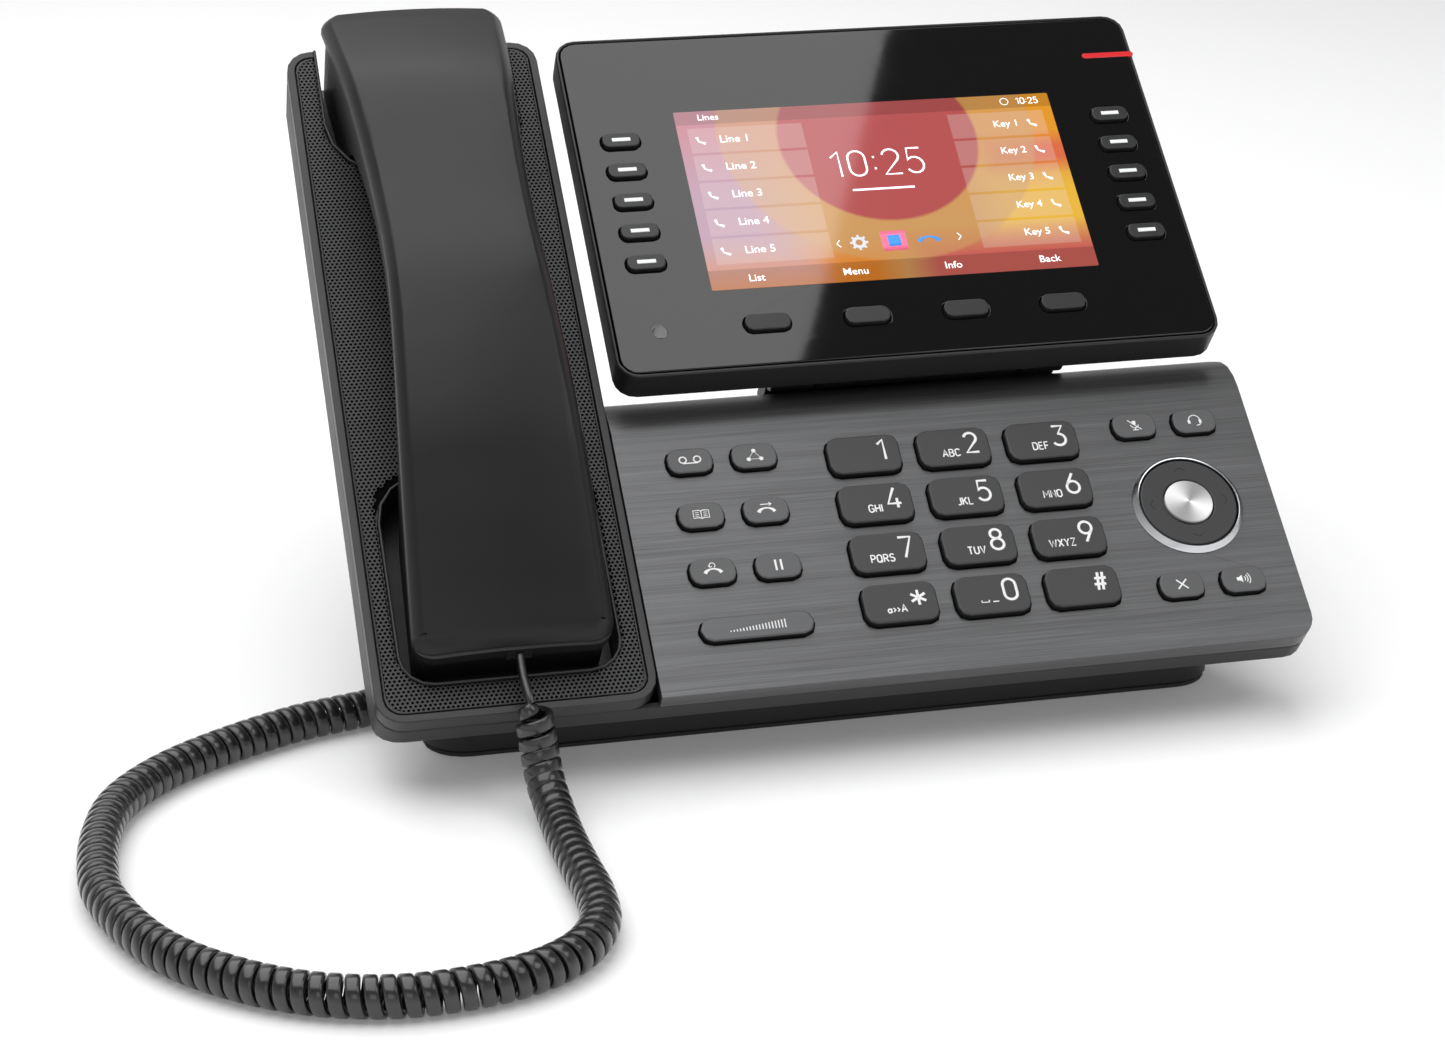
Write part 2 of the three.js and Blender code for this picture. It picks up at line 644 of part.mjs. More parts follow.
function handsetInnerShell() {
  const room = handset.outerDepth + fit;
  const below = sidePrism(crownBand(room, handset.end), ...handsetSpan);
  const whole = prism(handsetPlan(handset.inset), -body.depth, handset.end, 3)
    .intersect(sidePrism(undersideBand(0), ...handsetSpan)).intersect(below);
  const hollow = prism(handsetPlan(handset.inset + handset.wall), -body.depth, handset.end, 3)
    .intersect(sidePrism(undersideBand(handset.wall), ...handsetSpan));
  const { x, z, width, height, depth, wall } = handsetJack;
  const front = handset.start;
  const box = block(x - width / 2 - wall, x + width / 2 + wall, front + handset.inset,
    front + handset.inset + depth + wall, z - height / 2 - wall, z + height / 2 + wall).intersect(below);
  const cut = block(x - width / 2, x + width / 2, front - overshoot, front + handset.inset + depth,
    z - height / 2, z + height / 2);
  return whole.subtract(hollow).add(box.intersect(whole)).subtract(cut);
}

// ---------------------------------------------------------------------------------------------
// Plugs and cord
// ---------------------------------------------------------------------------------------------

function handsetPlug() {
  const { x, z, width, height, depth } = handsetJack;
  return block(x - width / 2 + fit, x + width / 2 - fit,
    handset.start, handset.start + handset.inset + depth - fit,
    z - height / 2 + fit, z + height / 2 - fit);
}

function basePlug() {
  return block(
    jack.x - jack.width / 2 + fit, jack.x + jack.width / 2 - fit,
    jack.y - jack.height / 2 + fit, jack.y + jack.height / 2 - fit,
    -body.depth - plug.protrude, -body.depth + jack.depth - fit);
}

/** Moves a point from the slab's axes to level axes. */
function toLevel(x, y, z) {
  const point = new THREE.Vector3(x, y, z).applyAxisAngle(new THREE.Vector3(1, 0, 0), tilt);
  return point.setZ(point.z + frontEdgeHeight);
}

/** Round tube along a path. */
function tube(path, diameter, sides, steps) {
  const section = new THREE.Shape(Array.from({ length: sides }, (unused, index) => {
    const angle = (index / sides) * 2 * Math.PI;
    return new THREE.Vector2(Math.cos(angle), Math.sin(angle)).multiplyScalar(diameter / 2);
  }));
  return new THREE.ExtrudeGeometry(section, { steps, extrudePath: path, curveSegments: 1 });
}

const toVectors = (points) => points.map(([x, y, z]) => new THREE.Vector3(x, y, z));
const coilPath = new THREE.CatmullRomCurve3(toVectors(coilRoute), false, 'centripetal');

function cordCoil() {
  return tube(coilPath, cord.coilDiameter, cord.coilSides, cord.coilSteps);
}

/** Point on the line that carries the coil on past its end, at a signed distance along the cord. */
const beyondCoil = (end, distance) => coilPath.getPoint(end)
  .addScaledVector(coilPath.getTangent(end), distance);

function cordHandsetLead() {
  const start = toLevel(handsetJack.x, handset.start - fit, handsetJack.z);
  const bend = toLevel(handsetJack.x, handset.start - 2 * cord.leadDiameter, handsetJack.z);
  const beforeEnd = beyondCoil(0, -cord.leadDiameter);
  const path = new THREE.CatmullRomCurve3(
    [start, bend, beforeEnd, beyondCoil(0, -fit)], false, 'centripetal');
  return tube(path, cord.leadDiameter, cord.leadSides, 6);
}

function cordBaseLead() {
  const start = [beyondCoil(1, fit), beyondCoil(1, cord.leadDiameter)];
  const end = toLevel(jack.x, jack.y, -body.depth - plug.protrude - fit);
  const beforeEnd = toLevel(jack.x, jack.y, -body.depth - plug.protrude - fit - 2 * cord.leadDiameter);
  const path = new THREE.CatmullRomCurve3(
    [...start, ...toVectors(baseLeadBends), beforeEnd, end], false, 'centripetal');
  return tube(path, cord.leadDiameter, cord.leadSides, 12);
}

// ---------------------------------------------------------------------------------------------
// Stand
// ---------------------------------------------------------------------------------------------

/** Height of the slab's underside above the floor, at a distance behind the front edge. */
function undersideHeight(y) {
  return frontEdgeHeight + y * Math.tan(tilt) - body.depth / Math.cos(tilt);
}

/** Side view of a wall that reaches up to the underside. */
function wallUnderSlab(front, back, low) {
  const clear = fit / Math.cos(tilt);
  return polygon([
    [front, low], [back, low],
    [back, undersideHeight(back) - clear], [front, undersideHeight(front) - clear]]);
}

/** Plan view of the stand, shrunk by an inset: a bar along the front and a plate behind it. */
function standPlan(inset) {
  const right = stand.left + stand.width - inset;
  const plateRight = stand.plateLeft + stand.plateWidth - inset;
  const barBack = stand.front + stand.barDepth - inset;
  const corner = stand.corner - inset;
  const bar = new THREE.Shape();
  bar.moveTo(stand.left + inset + corner, stand.front + inset);
  bar.absarc(right - corner, stand.front + inset + corner, corner, -Math.PI / 2, 0, false);
  bar.lineTo(right, barBack);
  bar.lineTo(plateRight, barBack);
  bar.absarc(plateRight - corner, stand.back - inset - corner, corner, 0, Math.PI / 2, false);
  bar.absarc(stand.plateLeft + inset + corner, stand.back - inset - corner,
    corner, Math.PI / 2, Math.PI, false);
  bar.lineTo(stand.plateLeft + inset, barBack);
  bar.lineTo(stand.left + inset, barBack);
  bar.absarc(stand.left + inset + corner, stand.front + inset + corner,
    corner, Math.PI, 1.5 * Math.PI, false);
  return bar;
}

function standFrame() {
  const low = sole.thickness + fit;
  const { left, width, front, frontWall, legThickness, sideLeg, middleLeg } = stand;
  const tall = undersideHeight(stand.back);
  const plate = prism(standPlan(0), low, low + stand.plate, 3);
  const wallBand = prism(standPlan(0), low, tall, 3)
    .subtract(prism(standPlan(frontWall), low - overshoot, tall + overshoot, 3));
  const wall = sidePrism(wallUnderSlab(front, front + stand.corner, low), left, left + width)
    .intersect(wallBand);
  const legs = join([sideLeg, middleLeg].map((leg) =>
    sidePrism(wallUnderSlab(leg.front, leg.front + legThickness, low), leg.left, leg.left + leg.width)));
  return plate.add(wall).add(legs);
}

/** Rubber sole: one flat band that follows the edge of the stand. */
function rubberSole() {
  return prism(standPlan(sole.margin), 0, sole.thickness, 3)
    .subtract(prism(standPlan(sole.margin + sole.width / 2), -overshoot, sole.thickness + overshoot, 3));
}

// ---------------------------------------------------------------------------------------------
// Assembly
// ---------------------------------------------------------------------------------------------

/** Adds one named piece to a group. */
function addPiece(group, name, shape, material) {
  const geometry = shape.isBufferGeometry ? shape : toGeometry(shape);
  const mesh = new THREE.Mesh(geometry, material);
  mesh.name = name;
  group.add(mesh);
  return mesh;
}

const slab = new THREE.Group();
slab.rotation.x = tilt;
slab.position.z = frontEdgeHeight;

addPiece(slab, 'base_housing', baseHousing(), finish('#1f2022', 0.6));
addPiece(slab, 'cradle_frame', cradleFrame(), finish('#2b2c2f', 0.55));
addPiece(slab, 'speaker_grille', speakerGrille(), finish('#2e2f32', 0.5));
addPiece(slab, 'speaker_driver', speakerDriver(), finish('#4a4b4e', 0.5, 0.6));
addPiece(slab, 'hook_switch', hookPlunger(), finish('#18181a', 0.5));
addPiece(slab, 'keypad_panel', keypadPanel(), finish('#54565a', 0.4, 0.9));
addPiece(slab, 'main_board', mainBoard(), finish('#1f4a34', 0.6));
for (const item of digitKeys) {
  addPiece(slab, item.name, keySolid(item, 0, keyFlangeTop), finish('#26272a', 0.45));
}
for (const item of functionKeys) {
  addPiece(slab, item.name, keySolid(item, 0, keyFlangeTop), finish('#3a3b3e', 0.45));
}
addPiece(slab, volume.name, keySolid(volume, 0, rockFlangeTop), finish('#3a3b3e', 0.45));
addPiece(slab, 'nav_ring', navRing(), finish('#232427', 0.4));
addPiece(slab, 'nav_ok_button', navOkButton(), finish('#b9bbbd', 0.3, 1));
addPiece(slab, 'neck_bracket', neckBracket(), finish('#1b1c1e', 0.5));
addPiece(slab, 'hinge_pin', hingePin(), finish('#8d9094', 0.3, 1));
addPiece(slab, 'display_shell', displayShell(), finish('#17181a', 0.5));
addPiece(slab, 'display_glass', displayGlass(), finish('#0b0b0c', 0.08));
addPiece(slab, 'lcd_module', lcdModule(), finish('#c98a6a', 0.3));
for (const item of displayKeys) {
  addPiece(slab, item.name, keySolid(item, displayFront, glassBack - fit), finish('#2a2b2e', 0.4));
}
addPiece(slab, 'handset_outer_shell', handsetOuterShell(), finish('#141416', 0.5));
addPiece(slab, 'handset_inner_shell', handsetInnerShell(), finish('#111113', 0.55));
addPiece(slab, 'handset_plug', handsetPlug(), finish('#202022', 0.3));
addPiece(slab, 'base_plug', basePlug(), finish('#202022', 0.3));

const level = new THREE.Group();
addPiece(level, 'stand', standFrame(), finish('#1a1b1d', 0.55));
addPiece(level, 'rubber_sole', rubberSole(), finish('#2c2c2e', 0.9));

const cordPieces = new THREE.Group();
addPiece(cordPieces, 'cord_coil', cordCoil(), finish('#121214', 0.3));
addPiece(cordPieces, 'cord_handset_lead', cordHandsetLead(), finish('#121214', 0.3));
addPiece(cordPieces, 'cord_base_lead', cordBaseLead(), finish('#121214', 0.3));

// The origin is on the floor, under the middle of the phone without its cord.
const phone = new THREE.Group();
phone.add(slab, level);
phone.updateMatrixWorld(true);
const extent = new THREE.Box3().setFromObject(phone, true);
const middle = extent.getCenter(new THREE.Vector3());

const model = new THREE.Group();
model.add(phone, cordPieces);
model.position.set(-middle.x, -middle.y, -extent.min.z);
model.updateMatrixWorld(true);

export default model;
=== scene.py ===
"""Desk phone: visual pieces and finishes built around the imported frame.

Pieces are shaped in millimetres on the phone's sloping top (u right, v up the slope, w out of it)
and are set into the frame, in metres, when they are finished.
"""
import logging
import math
from contextlib import contextmanager
from dataclasses import dataclass, field
from enum import Enum
from typing import Callable, Iterator, Sequence

import bmesh
import bpy
import numpy as np
from mathutils import Matrix, Vector


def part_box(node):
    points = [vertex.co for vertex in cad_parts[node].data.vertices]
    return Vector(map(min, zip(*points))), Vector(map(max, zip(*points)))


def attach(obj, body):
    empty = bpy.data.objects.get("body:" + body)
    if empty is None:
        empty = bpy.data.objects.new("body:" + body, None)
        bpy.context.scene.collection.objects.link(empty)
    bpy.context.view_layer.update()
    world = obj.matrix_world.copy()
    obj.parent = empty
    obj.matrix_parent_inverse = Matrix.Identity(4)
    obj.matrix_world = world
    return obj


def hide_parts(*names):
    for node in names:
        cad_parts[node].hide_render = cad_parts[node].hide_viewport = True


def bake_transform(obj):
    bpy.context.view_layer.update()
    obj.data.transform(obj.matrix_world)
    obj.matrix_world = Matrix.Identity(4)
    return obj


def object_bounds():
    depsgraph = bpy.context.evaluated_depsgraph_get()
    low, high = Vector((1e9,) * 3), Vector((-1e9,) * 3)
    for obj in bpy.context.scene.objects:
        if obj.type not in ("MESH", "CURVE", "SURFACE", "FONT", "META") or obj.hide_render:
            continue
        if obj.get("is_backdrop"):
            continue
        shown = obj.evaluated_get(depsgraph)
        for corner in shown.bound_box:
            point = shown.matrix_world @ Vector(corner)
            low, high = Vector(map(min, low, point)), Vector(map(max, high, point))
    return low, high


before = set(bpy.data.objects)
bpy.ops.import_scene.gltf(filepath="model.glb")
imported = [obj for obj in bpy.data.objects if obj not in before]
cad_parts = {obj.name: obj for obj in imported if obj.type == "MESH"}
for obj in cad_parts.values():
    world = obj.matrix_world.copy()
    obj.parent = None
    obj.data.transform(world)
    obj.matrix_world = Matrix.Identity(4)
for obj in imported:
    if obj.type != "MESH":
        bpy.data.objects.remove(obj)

LOG = logging.getLogger("desk_phone")
MM = 0.001
TILT = math.radians(37.4)
LIP_HEIGHT = 0.0048
Point = tuple[float, float]
Place = tuple[float, float, float]
Colour = tuple[float, float, float]

panel_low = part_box("keypad_panel")[0]
left_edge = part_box("base_housing")[0][0]
SLAB_ORIGIN = Vector((left_edge, panel_low[1], panel_low[2] + LIP_HEIGHT * math.cos(TILT)))
SLAB = Matrix.Translation(SLAB_ORIGIN) @ Matrix.Rotation(TILT, 4, "X") @ Matrix.Scale(MM, 4)
LEVEL = Matrix.Translation((left_edge, panel_low[1], 0)) @ Matrix.Scale(MM, 4)


class Align(Enum):
    """Where a word stands from its place: the share of its length that lies before it."""

    LEFT = 0.0
    CENTER = 0.5
    RIGHT = 1.0


# ---------------------------------------------------------------- modelling helpers


def pick(*objects: bpy.types.Object) -> None:
    """Select only these objects, the first of them active."""
    bpy.ops.object.select_all(action="DESELECT")
    for item in objects:
        item.select_set(True)
    if objects:
        bpy.context.view_layer.objects.active = objects[0]


@contextmanager
def editing(piece: bpy.types.Object) -> Iterator[bmesh.types.BMesh]:
    """Open a piece in edit mode with nothing selected.

    Args:
        piece: the mesh object to edit.

    Returns:
        An iterator that yields the open edit mesh.
    """
    pick(piece)
    bpy.ops.object.mode_set(mode="EDIT")
    bpy.ops.mesh.select_all(action="DESELECT")
    yield bmesh.from_edit_mesh(piece.data)
    bpy.ops.object.mode_set(mode="OBJECT")


def named(name: str) -> bpy.types.Object:
    """Name the object just added and return it."""
    piece = bpy.context.active_object
    piece.name = name
    piece.data.name = name
    return piece


def extruded(name: str, corners: Sequence[Place], along: Vector) -> bpy.types.Object:
    """Pull a flat outline into a closed body.

    Args:
        name: name of the piece.
        corners: the outline's corners in order.
        along: how far and which way the outline is pulled.

    Returns:
        The new mesh object.
    """
    bpy.ops.object.select_all(action="DESELECT")
    bpy.ops.mesh.primitive_circle_add(vertices=len(corners), radius=1, fill_type="NGON")
    piece = named(name)
    for vertex, corner in zip(piece.data.vertices, corners):
        vertex.co = corner
    with editing(piece):
        bpy.ops.mesh.select_all(action="SELECT")
        bpy.ops.mesh.extrude_region_move(TRANSFORM_OT_translate={"value": along})
        bpy.ops.mesh.select_all(action="SELECT")
        bpy.ops.mesh.normals_make_consistent(inside=False)
    return piece


def prism(name: str, outline: Sequence[Point], low: float, high: float) -> bpy.types.Object:
    """Body over an outline in the slab's plane, between two heights."""
    return extruded(name, [(x, y, low) for x, y in outline], Vector((0, 0, high - low)))


def rounded(x0: float, x1: float, y0: float, y1: float, lower: float,
            upper: float | None = None, steps: int = 6) -> list[Point]:
    """Rectangle with rounded corners.

    Args:
        x0, x1, y0, y1: its sides.
        lower: radius of the two lower corners.
        upper: radius of the two upper corners, the same as the lower ones if left out.
        steps: straight parts in each corner.

    Returns:
        The outline's points, anticlockwise.
    """
    top = lower if upper is None else upper
    corners = [(x1 - lower, y0 + lower, lower, -90), (x1 - top, y1 - top, top, 0),
               (x0 + top, y1 - top, top, 90), (x0 + lower, y0 + lower, lower, 180)]
    points = []
    for x, y, radius, start in corners:
        for step in range(steps + 1):
            angle = math.radians(start + 90 * step / steps)
            points.append((x + radius * math.cos(angle), y + radius * math.sin(angle)))
    return points


def apply_modifier(piece: bpy.types.Object, kind: str, **settings: object) -> None:
    """Add one modifier and apply it.

    Args:
        piece: the mesh object.
        kind: the modifier's type.
        settings: the modifier's own properties.
    """
    modifier = piece.modifiers.new(kind.lower(), kind)
    for key, value in settings.items():
        setattr(modifier, key, value)
    pick(piece)
    bpy.ops.object.modifier_apply(modifier=modifier.name)


def cut(piece: bpy.types.Object, cutter: bpy.types.Object) -> bpy.types.Object:
    """Cut a closed body out of another.

    Args:
        piece: the mesh object that is cut.
        cutter: the body that is taken out of it, and used up.

    Returns:
        The cut object.
    """
    apply_modifier(piece, "BOOLEAN", operation="DIFFERENCE", solver="EXACT", object=cutter)
    bpy.data.objects.remove(cutter)
    return piece


def merged(piece: bpy.types.Object, weld: float = 0.004,
           flat_angle: float = 0.3) -> bpy.types.Object:
    """Weld doubled points and take away edges inside flat faces.

    Args:
        piece: the mesh object.
        weld: points nearer than this many millimetres become one.
        flat_angle: faces that meet at less than this many degrees become one.

    Returns:
        The same object.
    """
    with editing(piece):
        bpy.ops.mesh.select_all(action="SELECT")
        bpy.ops.mesh.remove_doubles(threshold=weld)
        bpy.ops.mesh.dissolve_limited(angle_limit=math.radians(flat_angle))
    return piece


def soften(piece: bpy.types.Object, width: float, segments: int = 3, angle: float = 32,
           clamp: bool = False) -> bpy.types.Object:
    """Round the edges and shade the piece smooth.

    Args:
        piece: the mesh object.
        width: width of the rounding in millimetres.
        segments: faces across the rounding.
        angle: edges sharper than this many degrees are rounded.
        clamp: whether the width gives way where edges are close.

    Returns:
        The same object.
    """
    if width > 0:
        apply_modifier(piece, "BEVEL", width=width, segments=segments, limit_method="ANGLE",
                       angle_limit=math.radians(angle), use_clamp_overlap=clamp,
                       miter_outer="MITER_ARC")
    smooth(piece)
    return piece


def smooth(piece: bpy.types.Object, angle: float = 42) -> bpy.types.Object:
    """Shade smooth, except over sharp edges, with flat faces kept flat.

    Args:
        piece: the mesh object.
        angle: edges sharper than this many degrees stay sharp.

    Returns:
        The same object.
    """
    pick(piece)
    bpy.ops.object.shade_smooth_by_angle(angle=math.radians(angle))
    apply_modifier(piece, "WEIGHTED_NORMAL", keep_sharp=True)
    return piece


def lathe(name: str, profile: Sequence[Point], x: float, y: float,
          steps: int = 96) -> bpy.types.Object:
    """Turn a closed profile about an upright axis.

    Args:
        name: name of the piece.
        profile: the profile's points, each a radius and a height.
        x, y: place of the axis.
        steps: faces round it.

    Returns:
        The new mesh object.
    """
    bpy.ops.object.select_all(action="DESELECT")
    bpy.ops.mesh.primitive_circle_add(vertices=len(profile), radius=1)
    piece = named(name)
    for vertex, (radius, height) in zip(piece.data.vertices, profile):
        vertex.co = (x + radius, y, height)
    with editing(piece):
        bpy.ops.mesh.select_all(action="SELECT")
        bpy.ops.mesh.spin(steps=steps, angle=2 * math.pi, center=(x, y, 0), axis=(0, 0, 1))
        bpy.ops.mesh.select_all(action="SELECT")
        bpy.ops.mesh.remove_doubles(threshold=0.001)
        bpy.ops.mesh.normals_make_consistent(inside=False)
    return smooth(piece, 35)


def joined(name: str, *parts: bpy.types.Object) -> bpy.types.Object:
    """Make several mesh objects one, with each part's own material slots.

    Args:
        name: name of the whole.
        parts: the mesh objects, which are used up.

    Returns:
        The whole.
    """
    pick(*parts)
    if len(parts) > 1:
        bpy.ops.object.join()
    return named(name)


def node_copy(node: str, name: str | None = None, matrix: Matrix = SLAB) -> bpy.types.Object:
    """Copy of a frame node's mesh, welded and back in the slab's millimetres.

    Args:
        node: name of the frame node.
        name: name of the copy, the node's with "_skin" if left out.
        matrix: the axes that the copy is turned back into.

    Returns:
        The new mesh object.
    """
    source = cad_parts[node]
    mesh = source.data.copy()
    mesh.materials.clear()
    piece = bpy.data.objects.new(name or f"{node}_skin", mesh)
    bpy.context.scene.collection.objects.link(piece)
    mesh.transform(matrix.inverted())
    mesh.name = piece.name
    return merged(piece)


def reach(node: str) -> tuple[Vector, Vector]:
    """Lowest and highest corners of a frame node.

    Args:
        node: name of the frame node.

    Returns:
        The two corners, in the slab's millimetres.
    """
    back = SLAB.inverted()
    points = np.array([back @ vertex.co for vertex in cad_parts[node].data.vertices])
    return Vector(points.min(axis=0)), Vector(points.max(axis=0))


def settle(piece: bpy.types.Object, body: str, slot: str, *nodes: str,
           matrix: Matrix = SLAB) -> bpy.types.Object:
    """Set a finished piece into the frame.

    Args:
        piece: the mesh object, in millimetres.
        body: the moving body that it belongs to; empty for a piece that bends between two.
        slot: the record's material slot; not used.
        nodes: frame nodes that it stands for.
        matrix: the axes that it was modelled in.

    Returns:
        The same object.
    """
    piece.data.transform(matrix)
    if body:
        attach(piece, body)
    if nodes:
        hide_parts(*nodes)
    LOG.info("%s: %d faces, on %s", piece.name, len(piece.data.polygons), body)
    return piece


# ---------------------------------------------------------------- finishes


def group_tree(name: str, inputs: dict[str, object], outputs: dict[str, str]) -> bpy.types.NodeTree:
    """Start a shader node group.

    Args:
        name: name of the group.
        inputs: each input's name with its starting value; a colour has four numbers.
        outputs: each output's name with its socket type.

    Returns:
        The new tree, with its input and output nodes named "in" and "out".
    """
    tree = bpy.data.node_groups.new(name, "ShaderNodeTree")
    for label, value in inputs.items():
        if isinstance(value, tuple):
            kind = "NodeSocketColor" if len(value) == 4 else "NodeSocketVector"
        else:
            kind = "NodeSocketFloat"
        socket = tree.interface.new_socket(name=label, in_out="INPUT", socket_type=kind)
        socket.default_value = value
    for label, kind in outputs.items():
        tree.interface.new_socket(name=label, in_out="OUTPUT", socket_type=kind)
    tree.nodes.new("NodeGroupInput").name = "in"
    tree.nodes.new("NodeGroupOutput").name = "out"
    return tree


def add_node(tree: bpy.types.NodeTree, kind: str, links: dict[object, object],
             **settings: object) -> bpy.types.Node:
    """Add a node, give it settings, and feed its inputs.

    Args:
        tree: the node tree.
        kind: the node's type.
        links: each input's name or number with a socket or a plain value.
        settings: the node's own properties.

    Returns:
        The new node.
    """
    node = tree.nodes.new(kind)
    for key, value in settings.items():
        setattr(node, key, value)
    for key, value in links.items():
        if isinstance(value, bpy.types.NodeSocket):
            tree.links.new(value, node.inputs[key])
        else:
            node.inputs[key].default_value = value
    return node


def arithmetic(tree: bpy.types.NodeTree, operation: str, first: object, second: object = 0.0,
               clamp: bool = False) -> bpy.types.NodeSocket:
    """Result of one calculation.

    Args:
        tree: the node tree.
        operation: the calculation's type.
        first, second: a socket or a number each.
        clamp: whether the result is kept between 0 and 1.

    Returns:
        The socket with the result.
    """
    node = add_node(tree, "ShaderNodeMath", {0: first, 1: second}, operation=operation,
                    use_clamp=clamp)
    return node.outputs[0]


def multiply_add(tree: bpy.types.NodeTree, value: object, factor: object,
                 offset: object) -> bpy.types.NodeSocket:
    """Value times a factor, plus an offset."""
    return arithmetic(tree, "ADD", arithmetic(tree, "MULTIPLY", value, factor), offset)


def distance_from(tree: bpy.types.NodeTree, across: bpy.types.NodeSocket,
                  up: bpy.types.NodeSocket) -> bpy.types.NodeSocket:
    """Length of a flat vector from its two parts."""
    squares = [arithmetic(tree, "MULTIPLY", part, part) for part in (across, up)]
    return arithmetic(tree, "SQRT", arithmetic(tree, "ADD", *squares))


def surface_grain() -> bpy.types.NodeTree:
    """Group: fine moulded or brushed grain with slow, faint clouding over it."""
    tree = group_tree(
        "surface_grain",
        {"Vector": (0.0, 0.0, 0.0), "Colour": (0.5, 0.5, 0.5, 1.0), "Colour Spread": 0.1,
         "Grain Scale": 2000.0, "Cloud Scale": 30.0, "Roughness": 0.5, "Roughness Spread": 0.1},
        {"Colour": "NodeSocketColor", "Roughness": "NodeSocketFloat", "Height": "NodeSocketFloat"})
    given, out = tree.nodes["in"], tree.nodes["out"]
    grain = add_node(tree, "ShaderNodeTexNoise", {"Vector": given.outputs["Vector"],
                     "Scale": given.outputs["Grain Scale"], "Detail": 2.0, "Roughness": 0.6})
    cloud = add_node(tree, "ShaderNodeTexNoise", {"Vector": given.outputs["Vector"],
                     "Scale": given.outputs["Cloud Scale"], "Detail": 3.0, "Roughness": 0.55})
    mixed = multiply_add(tree, grain.outputs["Fac"], 0.6,
                         arithmetic(tree, "MULTIPLY", cloud.outputs["Fac"], 0.4))
    swing = arithmetic(tree, "MULTIPLY", arithmetic(tree, "SUBTRACT", mixed, 0.5), 4.0)
    value = multiply_add(tree, swing, given.outputs["Colour Spread"], 1.0)
    tint = add_node(tree, "ShaderNodeHueSaturation", {"Value": value,
                    "Color": given.outputs["Colour"]})
    change = arithmetic(tree, "MULTIPLY", swing, given.outputs["Roughness Spread"])
    rough = arithmetic(tree, "ADD", change, given.outputs["Roughness"], clamp=True)
    tree.links.new(tint.outputs["Color"], out.inputs["Colour"])
    tree.links.new(rough, out.inputs["Roughness"])
    tree.links.new(grain.outputs["Fac"], out.inputs["Height"])
    return tree


def handling_smears() -> bpy.types.NodeTree:
    """Group: faint smears from wiping and handling, as a change of roughness."""
    tree = group_tree("handling_smears", {"Vector": (0.0, 0.0, 0.0), "Roughness": 0.3,
                                          "Amount": 0.1}, {"Roughness": "NodeSocketFloat"})
    given, out = tree.nodes["in"], tree.nodes["out"]
    turned = add_node(tree, "ShaderNodeMapping", {"Vector": given.outputs["Vector"],
                      "Rotation": (0.3, 0.2, 0.5), "Scale": (14.0, 60.0, 40.0)})
    wipes = add_node(tree, "ShaderNodeTexNoise", {"Vector": turned.outputs["Vector"],
                     "Scale": 1.0, "Detail": 4.0})
    strong = arithmetic(tree, "SUBTRACT", wipes.outputs["Fac"], 0.5)
    above = arithmetic(tree, "MAXIMUM", strong, 0.0)
    change = arithmetic(tree, "MULTIPLY", above, given.outputs["Amount"])
    rough = arithmetic(tree, "ADD", change, given.outputs["Roughness"], clamp=True)
    tree.links.new(rough, out.inputs["Roughness"])
    return tree


GROUPS: dict[str, bpy.types.NodeTree] = {}


def group(make: Callable[[], bpy.types.NodeTree]) -> bpy.types.NodeTree:
    """A node group, built the first time it is asked for.

    Args:
        make: the function that builds it.

    Returns:
        The node group.
    """
    if make.__name__ not in GROUPS:
        GROUPS[make.__name__] = make()
    return GROUPS[make.__name__]


